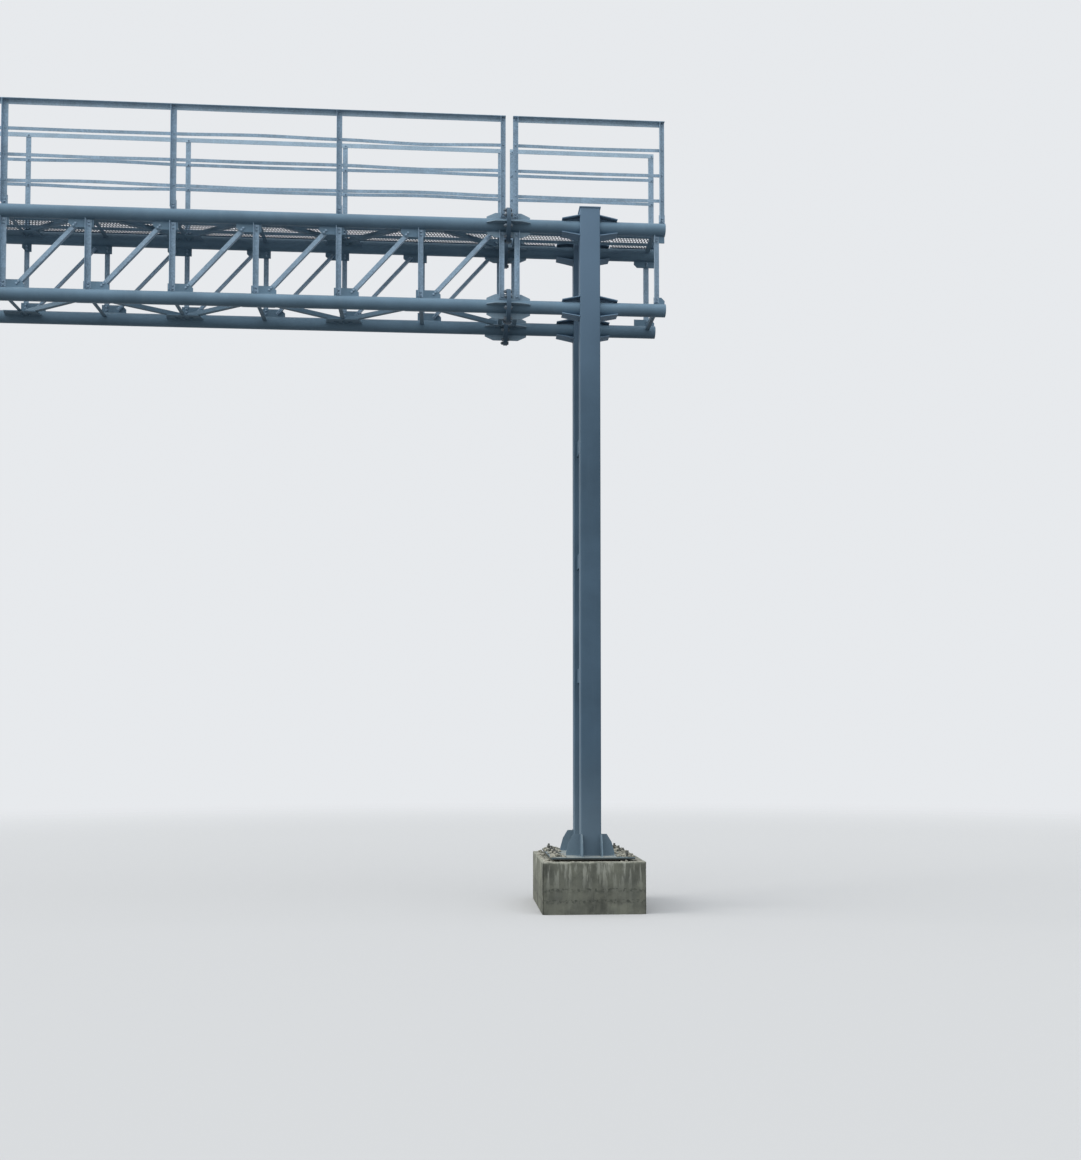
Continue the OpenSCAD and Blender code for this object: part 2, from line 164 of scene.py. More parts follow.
# Turned shape: point (i, j) is at radius r_i, height h_i and angle turn + 2 pi j / sides
def turnedShape(rows, sides, turn=0.0):
    rows = np.asarray(rows, float)
    angle = turn + 2 * np.pi * np.arange(sides) / sides
    radius, height = rows[:, :1], rows[:, 1:]
    rings = gatherPoints(radius * np.cos(angle), radius * np.sin(angle), height)
    return closeRings(rings, [0, 0, rows[0, 1]], [0, 0, rows[-1, 1]])


# Faces numbered on for each copy: index + copy * count of points
def repeatFaces(faces, copies, count):
    return (faces[None] + np.arange(copies)[:, None, None] * count).reshape(-1, faces.shape[1])


# Copies a shape to every place: point = place + size * (x * side + y * (axis x side) + z * axis)
def placeCopies(shape, places, axis, side, size=1.0):
    points, quads, tris = shape
    third = np.cross(axis, side)
    size = np.reshape(size, (-1, 1, 1))
    axes = [np.broadcast_to(way, places.shape)[:, None] * size for way in (side, third, axis)]
    out = places[:, None] + sum(points[None, :, k:k + 1] * way for k, way in enumerate(axes))
    copies, count = len(places), len(points)
    return out.reshape(-1, 3), repeatFaces(quads, copies, count), repeatFaces(tris, copies, count)


# Profile carried along paths: point = origin + a * axisA + b * axisB, anticlockwise about the way of the path
def carryProfile(origins, axisA, axisB, profile, roundPath=False):
    paths, stations = origins.shape[:2]
    axisA, axisB = np.broadcast_to(axisA, origins.shape), np.broadcast_to(axisB, origins.shape)
    profile = np.broadcast_to(profile, (paths, stations) + profile.shape[-2:])
    count = profile.shape[2]
    points = (origins[:, :, None, :] + profile[..., 0:1] * axisA[:, :, None, :]
              + profile[..., 1:2] * axisB[:, :, None, :]).reshape(-1, 3)
    quads = repeatFaces(gridCells(stations, count, roundPath, True), paths, stations * count)
    fan = np.stack([np.zeros(count - 2, int), np.arange(1, count - 1), np.arange(2, count)], axis=-1)
    ends = np.concatenate([fan[:, ::-1], fan + (stations - 1) * count])
    if roundPath:
        ends = ends[:0]
    return points, quads, repeatFaces(ends, paths, stations * count)


# Flat bar's section as a profile: half its width and half its height to each side
def flatSection(wide, high):
    return np.array([[-1, -1], [1, -1], [1, 1], [-1, 1]]) * [wide / 2, high / 2]


# Soft noise: the mean of cosines of seeded waves, each with its own direction and phase
def softNoise(points, size, seed, waves=18):
    pick = np.random.default_rng(seed)
    push = pick.normal(size=(waves, 3)) * (2 * np.pi / size)
    phase = pick.uniform(0, 2 * np.pi, waves)
    return np.cos(points @ push.T + phase).sum(axis=-1) / math.sqrt(waves)


# Finishes: a socket of a node is linked to another socket or set to a value
def feed(tree, socket, value):
    if isinstance(value, bpy.types.NodeSocket):
        tree.links.new(value, socket)
    else:
        socket.default_value = value


# Values in order feed the first inputs; a named value feeds the input of that name, with _ for a blank,
# and a name in small letters sets a property of the node
def setNode(tree, node, *values, **named):
    for name, value in named.items():
        if name.islower():
            setattr(node, name, value)
        else:
            feed(tree, node.inputs[name.replace("_", " ")], value)
    for socket, value in zip(node.inputs, values):
        feed(tree, socket, value)
    return node


# New nodes are laid out in rows of eight
def addNode(tree, kind, *values, **named):
    node = tree.nodes.new(kind)
    spot = len(tree.nodes) - 1
    node.location = (220 * (spot % 8) - 2000, -280 * (spot // 8))
    return setNode(tree, node, *values, **named)


# Sum, product or other operation on two values; clamp keeps it within 0 to 1
def doMath(tree, operation, first, second, clamp=False):
    return addNode(tree, "ShaderNodeMath", first, second, operation=operation, use_clamp=clamp).outputs[0]


def times(tree, first, second, clamp=False):
    return doMath(tree, "MULTIPLY", first, second, clamp)


# Carries a value from low..high to start..end, on a straight line or an S curve
def mapRange(tree, value, low, high, start=0.0, end=1.0, smooth=False):
    curve = "SMOOTHSTEP" if smooth else "LINEAR"
    node = addNode(tree, "ShaderNodeMapRange", value, low, high, start, end, interpolation_type=curve)
    return node.outputs[0]


# Third component of a vector
def alongZ(tree, vector):
    return addNode(tree, "ShaderNodeSeparateXYZ", vector).outputs["Z"]


# Noise of 0 to 1; detail is the number of its octaves
def addNoise(tree, vector, scale, detail, roughness):
    node = addNode(tree, "ShaderNodeTexNoise", Vector=vector, Scale=scale, Detail=detail, Roughness=roughness)
    return node.outputs["Fac"]


# Inputs 0, 6 and 7 of a colour mix are its factor and its two colours
def mixColours(tree, factor, first, second, blend="MIX"):
    node = addNode(tree, "ShaderNodeMix", data_type="RGBA", blend_type=blend)
    for index, value in ((0, factor), (6, first), (7, second)):
        feed(tree, node.inputs[index], value)
    return node.outputs[2]


# Screen colour of 0 to 255 as linear light
def linear(red, green, blue):
    values = np.array([red, green, blue]) / 255.0
    return tuple(np.where(values <= 0.04045, values / 12.92, ((values + 0.055) / 1.055) ** 2.4)) + (1.0,)


# Colours laid over a base in turn, each by its own mask
def layColours(tree, base, layers):
    for mask, colour in layers:
        base = mixColours(tree, mask, base, linear(*colour))
    return base


# Group with a vector, named numbers with their usual values, and masks or tones that it puts out
def newGroup(name, takes, gives):
    tree = bpy.data.node_groups.new(name, "ShaderNodeTree")
    tree.interface.new_socket("Vector", in_out="INPUT", socket_type="NodeSocketVector")
    for label, value in takes.items():
        tree.interface.new_socket(label, in_out="INPUT", socket_type="NodeSocketFloat").default_value = value
    for label in gives:
        tree.interface.new_socket(label, in_out="OUTPUT", socket_type="NodeSocketFloat")
    return tree, addNode(tree, "NodeGroupInput").outputs, addNode(tree, "NodeGroupOutput").inputs


# A group placed in a finish with values of its own
def placeGroup(tree, name, vector, **values):
    group = bpy.data.node_groups[name]
    return addNode(tree, "ShaderNodeGroup", node_tree=group, Vector=vector, **values).outputs


# Detail and roughness of the noises in the groups, and the ends of the ranges that make masks of them
texture = {
    "slow": (4.0, 0.55), "slowRange": (0.3, 0.7), "fine": (3.0, 0.6), "rain": (5.0, 0.6),
    "dust": (5.0, 0.65), "dustRange": (0.35, 0.65), "upRange": (0.35, 0.98),
    "patch": (2.0, 0.5), "spot": (4.0, 0.7), "spotEdge": 0.05,
}

# Cloudy tone: slow noise between two values, for paint that has weathered unevenly
takes = {"Scale": 2.0, "Fine Scale": 40.0, "Low": 0.9, "High": 1.1}
tree, given, out = newGroup("cloudyTone", takes, ["Tone", "Fine"])
slow = addNoise(tree, given["Vector"], given["Scale"], *texture["slow"])
feed(tree, out["Tone"], mapRange(tree, slow, *texture["slowRange"], given["Low"], given["High"]))
feed(tree, out["Fine"], addNoise(tree, given["Vector"], given["Fine Scale"], *texture["fine"]))

# Rain runs: noise drawn out in Z and cut to a mask
takes = {"Width": 30.0, "Stretch": 0.05, "Start": 0.52, "End": 0.75}
tree, given, out = newGroup("rainRuns", takes, ["Mask"])
axes = addNode(tree, "ShaderNodeSeparateXYZ", given["Vector"]).outputs
drawnZ = times(tree, axes["Z"], given["Stretch"])
drawn = addNode(tree, "ShaderNodeCombineXYZ", axes["X"], axes["Y"], drawnZ).outputs[0]
noise = addNoise(tree, drawn, given["Width"], *texture["rain"])
feed(tree, out["Mask"], mapRange(tree, noise, given["Start"], given["End"], smooth=True))

# Settled dust: a mask on faces that look up, broken by noise
tree, given, out = newGroup("settledDust", {"Scale": 6.0, "Amount": 0.5}, ["Mask"])
normal = addNode(tree, "ShaderNodeNewGeometry").outputs["Normal"]
upward = mapRange(tree, alongZ(tree, normal), *texture["upRange"], smooth=True)
noise = addNoise(tree, given["Vector"], given["Scale"], *texture["dust"])
patch = mapRange(tree, noise, *texture["dustRange"])
feed(tree, out["Mask"], times(tree, times(tree, upward, patch), given["Amount"], clamp=True))

# Rust spots: the crests of two noises multiplied
tree, given, out = newGroup("rustSpots", {"Patch Scale": 3.0, "Spot Scale": 60.0, "Threshold": 0.4}, ["Mask"])
patch = addNoise(tree, given["Vector"], given["Patch Scale"], *texture["patch"])
spot = addNoise(tree, given["Vector"], given["Spot Scale"], *texture["spot"])
edge = doMath(tree, "ADD", given["Threshold"], texture["spotEdge"])
feed(tree, out["Mask"], mapRange(tree, times(tree, patch, spot), given["Threshold"], edge, smooth=True))

# Zinc flowers: cells with a random grey each
tree, given, out = newGroup("zincFlowers", {"Scale": 90.0}, ["Grey"])
cells = addNode(tree, "ShaderNodeTexVoronoi", Vector=given["Vector"], Scale=given["Scale"])
feed(tree, out["Grey"], addNode(tree, "ShaderNodeSeparateColor", cells.outputs["Color"]).outputs[0])
print("finish groups", len(bpy.data.node_groups))


# New material, its node tree and the place on the piece that its patterns read
def newFinish(name):
    finish = bpy.data.materials.new(name)
    finish.use_nodes = True
    tree = finish.node_tree
    return finish, tree, addNode(tree, "ShaderNodeTexCoord").outputs["Object"]


# Sets the finish's own shader, with a bump of a given height in metres
def dressShader(tree, height, strength, distance, **values):
    bump = addNode(tree, "ShaderNodeBump", Strength=strength, Distance=distance, Height=height)
    setNode(tree, tree.nodes["Principled BSDF"], Normal=bump.outputs["Normal"], **values)


# Weathered paint: cloudy tone, pale rain runs, a colour ramp by height (lighter towards the column's top,
# painted shade on the base plate's edge below its top), mortar splashed at the foot, dust on the tops and
# rust
def makePaint(name, look):
    finish, tree, place = newFinish(name)
    tone = placeGroup(tree, "cloudyTone", place, **look["clouds"])
    runs = placeGroup(tree, "rainRuns", place, **look["rain"])["Mask"]
    dust = placeGroup(tree, "settledDust", place, Scale=look["dustScale"], Amount=look["dust"])["Mask"]
    rust = placeGroup(tree, "rustSpots", place, **look["rust"])["Mask"]
    speckle = mapRange(tree, tone["Fine"], *look["speckleRange"], 1 - look["mottle"], 1 + look["mottle"])
    mottled = times(tree, tone["Tone"], speckle)
    shade = addNode(tree, "ShaderNodeCombineColor", mottled, mottled, mottled).outputs[0]
    level = alongZ(tree, place)
    # Colour ramp by height: painted shade on the base plate's edge below its top; on the column, lighter
    # towards the top
    high = mapRange(tree, level, look["rampFrom"], look["rampTo"], 0.0, look["ramp"], smooth=True)
    low = mapRange(tree, level, look["splashTop"], look["splashFoot"], 0.0, look["splash"], smooth=True)
    drops = times(tree, low, doMath(tree, "ADD", runs, speckle, clamp=True))
    colour = layColours(tree, mixColours(tree, 1.0, linear(*look["colour"]), shade, "MULTIPLY"), (
        (times(tree, runs, look["runs"]), look["runColour"]),
        (high, look["rampColour"]),
        (drops, look["splashColour"]),
        (dust, look["dustColour"]),
        (rust, look["rustColour"]),
    ))
    gloss = mapRange(tree, tone["Fine"], *look["glossRange"], *look["roughness"])
    rough = doMath(tree, "MAXIMUM", gloss, times(tree, rust, look["rustRough"]))
    dressShader(tree, tone["Fine"], look["bump"], look["bumpHigh"], Base_Color=colour, Roughness=rough,
                Specular_IOR_Level=look["specular"], IOR=look["ior"])
    return finish


columnLook = {
    "colour": (76, 97, 114), "clouds": {"Scale": 1.6, "Fine_Scale": 90.0, "Low": 0.86, "High": 1.12},
    "mottle": 0.05, "speckleRange": (0.32, 0.68),
    "rain": {"Width": 9.0, "Stretch": 0.04, "Start": 0.5, "End": 0.8},
    "runs": 0.22, "runColour": (102, 122, 136),
    "dust": 0.4, "dustScale": 5.0, "dustColour": (140, 144, 140),
    "rust": {"Patch_Scale": 1.7, "Spot_Scale": 45.0, "Threshold": 0.47},
    "rustColour": (104, 72, 52), "rustRough": 0.85,
    "ramp": 0.0, "rampFrom": 5.6, "rampTo": 8.7, "rampColour": (116, 140, 162),
    "splash": 0.0, "splashTop": 2.2, "splashFoot": 0.66, "splashColour": (116, 132, 142),
    "roughness": (0.43, 0.58), "glossRange": (0.3, 0.7), "specular": 0.06, "ior": 1.45,
    "bump": 0.12, "bumpHigh": 0.0015,
}
clouds, rust = columnLook["clouds"], columnLook["rust"]
trussLook = dict(columnLook, colour=(105, 130, 148), clouds=dict(clouds, Scale=2.2), mottle=0.07, runs=0.2,
                 runColour=(130, 149, 162), dust=0.3, dustColour=(150, 158, 160), specular=0.12)
haunchLook = dict(trussLook, colour=(118, 143, 164), dust=0.15, specular=0.05)
ribLook = dict(trussLook, colour=(136, 158, 173), dust=0.2, mottle=0.1)
flangeLook = dict(trussLook, colour=(76, 96, 113), dust=0.1, rust=dict(rust, Threshold=0.5))
railLook = dict(columnLook, colour=(138, 162, 181), clouds=dict(clouds, Scale=6.0, Fine_Scale=55.0),
                mottle=0.2, runs=0.2, runColour=(164, 178, 188), rust=dict(rust, Threshold=0.48), dust=0.3,
                dustColour=(170, 178, 182), roughness=(0.38, 0.53), specular=0.3)
handLook = dict(railLook, colour=(160, 182, 198), clouds=dict(railLook["clouds"], Low=0.92), mottle=0.14)
# Painted highlight: the base gussets' paint is lighter all over, standing in for their lit edges; the heavy
# dust on them is real
footHighlightLook = dict(columnLook, colour=(108, 127, 140), dust=0.95, dustColour=(150, 152, 143), runs=0.4,
                runColour=(142, 152, 156))
# Painted shade: below its top the base plate's edge is ramped dark, standing in for the shade of the gap
# under the plate
plateLook = dict(footHighlightLook, colour=(112, 130, 140), runs=0.6, dustColour=(166, 167, 158),
                 ramp=0.85, rampFrom=0.6645, rampTo=0.655, rampColour=(58, 62, 62))
# The column's paint ramps lighter towards the top
columnPaint = makePaint("columnPaint", dict(columnLook, ramp=0.62, splash=0.4))
footHighlightPaint = makePaint("footHighlightPaint", footHighlightLook)
platePaint = makePaint("platePaint", plateLook)
trussPaint = makePaint("trussPaint", trussLook)
haunchPaint = makePaint("haunchPaint", haunchLook)
ribPaint = makePaint("ribPaint", ribLook)
flangePaint = makePaint("flangePaint", flangeLook)
railPaint = makePaint("railPaint", railLook)
handPaint = makePaint("handPaint", handLook)


# Hot-dip zinc: flowers of grey, white bloom and rust spots
def makeZinc(name, look):
    finish, tree, place = newFinish(name)
    grey = placeGroup(tree, "zincFlowers", place, Scale=look["flowerScale"])["Grey"]
    tone = placeGroup(tree, "cloudyTone", place, **look["clouds"])
    rust = placeGroup(tree, "rustSpots", place, **look["rust"])["Mask"]
    colour = layColours(tree, mixColours(tree, grey, linear(*look["dark"]), linear(*look["light"])), (
        (times(tree, tone["Tone"], look["bloom"]), look["bloomColour"]),
        (rust, look["rustColour"]),
    ))
    rough = mapRange(tree, tone["Tone"], 0.0, 1.0, *look["roughness"])
    metallic = times(tree, doMath(tree, "SUBTRACT", 1.0, rust), look["metal"])
    dressShader(tree, tone["Fine"], look["bump"], look["bumpHigh"], Base_Color=colour, Roughness=rough,
                Metallic=metallic, Specular_IOR_Level=look["specular"])
    return finish


# Painted shade: the walkway mesh's greys are darkened to the shade on its underside
shadedMeshLook = {
    "flowerScale": 60.0, "dark": (44, 64, 84), "light": (72, 98, 120),
    "clouds": {"Scale": 5.0, "Fine_Scale": 150.0, "Low": 0.0, "High": 1.0},
    "bloom": 0.25, "bloomColour": (108, 132, 150),
    "rust": {"Patch_Scale": 4.0, "Spot_Scale": 70.0, "Threshold": 0.66}, "rustColour": (112, 74, 48),
    "roughness": (0.6, 0.8), "metal": 0.1, "specular": 0.1, "bump": 0.1, "bumpHigh": 0.001,
}
boltLook = dict(shadedMeshLook, flowerScale=140.0, rust=dict(shadedMeshLook["rust"], Threshold=0.49),
                dark=(66, 77, 87), light=(112, 123, 132), bloomColour=(132, 141, 148),
                roughness=(0.42, 0.62), metal=0.5, specular=0.4)
anchorLook = dict(boltLook, rust=dict(shadedMeshLook["rust"], Threshold=0.38),
                  dark=(48, 50, 50), light=(92, 95, 94), bloom=0.35, bloomColour=(150, 149, 140))
shadedMeshZinc = makeZinc("shadedMeshZinc", shadedMeshLook)
boltZinc = makeZinc("boltZinc", boltLook)
anchorSteel = makeZinc("anchorSteel", anchorLook)


# Cast concrete: cement clouds, dark patches, form boards, lime runs from the top edge, broken form lines,
# a paler band along the top of the sides, a crust on top and pits
def makeConcrete(name, look):
    finish, tree, place = newFinish(name)
    tone = placeGroup(tree, "cloudyTone", place, **look["clouds"])
    patches = placeGroup(tree, "cloudyTone", place, **look["stains"])
    rain = placeGroup(tree, "rainRuns", place, **look["rain"])["Mask"]
    boards = placeGroup(tree, "rainRuns", place, **look["boardGrain"])["Mask"]
    dust = placeGroup(tree, "settledDust", place, **look["crust"])["Mask"]
    fine, level = tone["Fine"], alongZ(tree, place)

    def levelMask(low, high, start=0.0, end=1.0):
        return mapRange(tree, level, low, high, start, end, smooth=True)

    cells = addNode(tree, "ShaderNodeTexVoronoi", Vector=place, Scale=look["pitScale"]).outputs["Distance"]
    pits = mapRange(tree, cells, *look["pitRange"], 1.0, 0.0)
    pits = times(tree, pits, doMath(tree, "GREATER_THAN", fine, look["pitCut"]))
    half, low, high = look["bandHalf"], look["bandReach"], look["bandTop"]
    bands = [times(tree, levelMask(z - low, z - half), levelMask(z + half, z + high, 1.0, 0.0))
             for z in look["bands"]]
    broken = mapRange(tree, patches["Fine"], *look["bandRange"], 0.0, look["bandStrength"])
    falling = times(tree, rain, levelMask(*look["runLevels"], look["runFoot"]))
    # A paler band along the top of the sides, broken by the fine noise
    paleRim = times(tree, levelMask(*look["rimLevels"]), doMath(tree, "ADD", fine, look["rim"], clamp=True))
    colour = layColours(tree, mixColours(tree, tone["Tone"], linear(*look["dark"]), linear(*look["light"])), (
        (times(tree, patches["Tone"], look["patches"], clamp=True), look["patchColour"]),
        (times(tree, boards, look["boards"]), look["grain"]),
        (times(tree, fine, look["grainShare"]), look["grain"]),
        (times(tree, falling, look["runs"]), look["runColour"]),
        (times(tree, doMath(tree, "ADD", *bands), broken), look["patchColour"]),
        (paleRim, look["paleTopColour"]),
        (dust, look["paleTopColour"]),
        (times(tree, pits, look["pits"]), look["pitColour"]),
    ))
    height = doMath(tree, "SUBTRACT", fine, pits)
    rough = mapRange(tree, fine, 0.0, 1.0, *look["roughness"])
    dressShader(tree, height, look["bump"], look["bumpHigh"], Base_Color=colour, Roughness=rough,
                Specular_IOR_Level=look["specular"])
    return finish


concreteLook = {
    "dark": (88, 91, 85), "light": (128, 130, 116), "grain": (106, 108, 99), "grainShare": 0.3,
    "clouds": {"Scale": 3.4, "Fine_Scale": 85.0, "Low": 0.0, "High": 1.0},
    "stains": {"Scale": 4.0, "Fine_Scale": 24.0, "Low": -0.6, "High": 1.3},
    "patches": 0.75, "patchColour": (70, 72, 67),
    "boardGrain": {"Width": 40.0, "Stretch": 0.05, "Start": 0.42, "End": 0.62}, "boards": 0.2,
    "rain": {"Width": 21.0, "Stretch": 0.12, "Start": 0.5, "End": 0.6},
    "runs": 0.62, "runColour": (168, 170, 160), "runLevels": (0.22, 0.58), "runFoot": 0.12,
    "bands": (0.302, 0.168), "bandHalf": 0.003, "bandReach": 0.065, "bandTop": 0.014,
    "bandRange": (0.47, 0.62), "bandStrength": 0.9, "rim": 0.1, "rimLevels": (0.596, 0.616),
    "crust": {"Scale": 9.0, "Amount": 0.85}, "paleTopColour": (144, 145, 134),
    "pits": 0.6, "pitScale": 38.0, "pitRange": (0.1, 0.22), "pitCut": 0.56, "pitColour": (58, 58, 55),
    "roughness": (0.82, 0.97), "specular": 0.25, "bump": 0.55, "bumpHigh": 0.004,
}
mortarLook = dict(concreteLook, clouds=dict(concreteLook["clouds"], Scale=9.0), runs=0.1, boards=0.0,
                  patches=0.5, patchColour=(98, 97, 90), dark=(116, 115, 106), light=(168, 166, 153),
                  grain=(140, 138, 127), rim=-0.4, paleTopColour=(164, 162, 150), bump=0.7)
castConcrete = makeConcrete("castConcrete", concreteLook)
mortar = makeConcrete("mortar", mortarLook)

# Finishes of the frame's nodes by whole name, last word or first word; all others are trussPaint
nodeFinish = {
    "foundation_block": castConcrete, "grout_bed": mortar, "base_plate": platePaint,
    "base_gussets": footHighlightPaint, "haunch_plates": haunchPaint, "column": columnPaint, "head_walkway": shadedMeshZinc,
    "span_walkway": shadedMeshZinc, "handrails": handPaint, "ribs": ribPaint, "flanges": flangePaint,
    "posts": railPaint, "rails": railPaint, "uprights": railPaint, "diagonals": railPaint, "lugs": railPaint,
}
for name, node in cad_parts.items():
    words = name.split("_")
    finish = next((nodeFinish[key] for key in (name, words[-1], words[0]) if key in nodeFinish), trussPaint)
    if len(node.material_slots) == 0:
        node.data.materials.append(finish)
    for slot in node.material_slots:
        slot.material = finish
print("nodes painted", len(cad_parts))

# Walkway mesh of stretched steel: strands zigzag across the walkway and meet at their bends
walkwayMesh = {
    "pitchX": 0.038,  # short way of a diamond
    "pitchY": 0.115,  # long way of a diamond
    "strandWide": 0.0138,
    "strandThick": 0.004,
    "tilt": 24.0,
    "bondShare": 0.16,  # share of a half diamond taken by the joint
    "weave": 0.0004,
    "lift": 0.0044,  # middle of the strands over the stringers
    "edge": 0.001,
    "frontEdge": 0.04,  # the mesh stops behind the front chord's crown
    "barThick": 0.005,
    "barHigh": 0.0155,
    "barTop": -0.0003,  # below the underside of the panel
    "endGap": 0.02,  # share of a diamond without a bend before the far end
    "notchX": 0.357,
    "notchY": 0.279,
}
panelUnder = reachOf("span_walkway", 2)[0]


# Strand k runs along Y at X = x0 + k * pitch / 2; it sways by a quarter pitch each way in flat-topped
# waves, odd strands mirrored
def stretchedPanel(x0, x1, y0, y1, look):
    half, bond = look["pitchX"] / 2, look["bondShare"] / 2
    strands = int((x1 - x0) / half)
    waves = (y1 - y0) / look["pitchY"]
    bends = np.array([bond, 0.5 - bond, 0.5 + bond, 1.0 - bond])
    knots = (np.arange(int(np.ceil(waves)) + 1)[:, None] + bends).ravel()
    knots = np.concatenate([[0.0], knots[knots < waves - look["endGap"]], [waves]])
    sway = takeTurns(strands)[:, None] * np.interp(knots % 1.0, [0, *bends, 1], [1, 1, -1, -1, 1, 1])
    middle = x0 + half * (np.arange(strands) + 0.5) + (x1 - x0 - half * strands) / 2
    origins = gatherPoints(middle[:, None] + sway * half / 2, y0 + knots * look["pitchY"],
                           panelUnder + look["lift"] + sway * look["weave"])
    tilt = math.radians(look["tilt"])
    across = [math.cos(tilt), 0, math.sin(tilt)]
    through = [math.sin(tilt), 0, -math.cos(tilt)]
    return carryProfile(origins, across, through, flatSection(look["strandWide"], look["strandThick"]))


# Edge bars of a panel: a flat section carried along X under each long side
def edgeBars(x0, x1, y0, y1, look):
    wide, high = look["barThick"], look["barHigh"]
    sides = np.array([[y0 + wide / 2], [y1 - wide / 2]])
    origins = gatherPoints(np.array([x0, x1]), sides, panelUnder + look["barTop"] - high / 2)
    return carryProfile(origins, alongY, allUp, flatSection(wide, high))


# Panels as (x0, x1, y0, y1): the head's is notched round the column and its haunches
def walkwayPanels(node, look):
    x0, x1 = reachOf(node, 0)
    x0, x1 = x0 + look["edge"], x1 - look["edge"]
    y1 = reachOf(node, 1)[1] - look["edge"]
    y0 = look["frontEdge"] - y1
    if node == "span_walkway":
        return [(x0, x1, y0, y1)]
    n, m = look["notchX"], look["notchY"]
    return [(x0, -n, y0, y1), (-n, n, -m, m), (n, x1, y0, y1)]


for node, name in (("span_walkway", "walkway_mesh_span"), ("head_walkway", "walkway_mesh_head")):
    parts = [shape(*panel, walkwayMesh) for panel in walkwayPanels(node, walkwayMesh)
             for shape in (stretchedPanel, edgeBars)]
    piece = makePiece(name, gatherShapes(parts), shadedMeshZinc, angle=20)
    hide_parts(node)
print("walkway mesh done")

# Column tubes with rounded corners, standing from the base plate to the caps
columnTube = {"sizeX": 0.25, "sizeY": 0.2, "corner": 0.014, "cornerSteps": 7, "levels": 9}
plateTop = reachOf("base_plate", 2)[1]
columnFoot, columnTop = reachOf("column_front_branch", 2)


# Rounded rectangle: the corner's centre plus the corner radius at an angle, for a quarter turn at each corner
def roundedOutline(sizeX, sizeY, corner, steps):
    quarter = np.arange(4)[:, None] * np.pi / 2 + np.linspace(0, np.pi / 2, steps)
    signX = np.array([1, -1, -1, 1])[:, None]
    signY = np.array([1, 1, -1, -1])[:, None]
    x = signX * (sizeX / 2 - corner) + corner * np.cos(quarter)
    y = signY * (sizeY / 2 - corner) + corner * np.sin(quarter)
    return np.stack([x, y], axis=-1).reshape(-1, 2)


# The outline carried up each branch: point = (x, branch + y, level)
def columnTubes(look):
    outline = roundedOutline(look["sizeX"], look["sizeY"], look["corner"], look["cornerSteps"])
    origins = gatherPoints(0.0, axesY[:, None], np.linspace(columnFoot, columnTop, look["levels"]))
    return carryProfile(origins, alongX, alongY, outline)


tubes = makePiece("column_tubes", columnTubes(columnTube), columnPaint, angle=40)
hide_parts("column_front_branch", "column_rear_branch")

# Foundation block: cast skin with a form joint, worn edges and a rough top; the chips are a mean with shares
# of a coarse and a fine noise, shallower on the upright corners, and a share of them lowers the rim
block = {
    "sizeX": 1.24, "sizeY": 1.74, "height": 0.62, "aroundStep": 0.0135,
    "rows": 44, "rowPower": 0.9, "rings": 22, "ringPower": 1.4,
    "corner": 0.0126, "cornerReach": 0.008, "cornerPower": 1.5,
    "edge": 0.985,  # a place further out than this share of the half width is on that side
    "chip": 0.016, "chipSize": 0.16, "fineSize": 0.04, "chipReach": 0.012, "chipPower": 1.2,
    "chipMean": 0.35, "coarse": 0.5, "fine": 0.35, "chipLimits": (0.08, 1.3), "upright": 0.7, "rimDrop": 0.5,
    "skin": 0.0018, "skinSize": 0.05, "skinMean": 0.5, "skinNoise": 0.4, "skinLimit": 1.4,
    "joint": 0.302, "jointDepth": 0.0022, "jointReach": 0.006,
    "topSink": 0.004, "topDeepest": 0.012, "topLumps": ((0.11, 0.0022), (0.03, 0.0012)),  # size and height
}


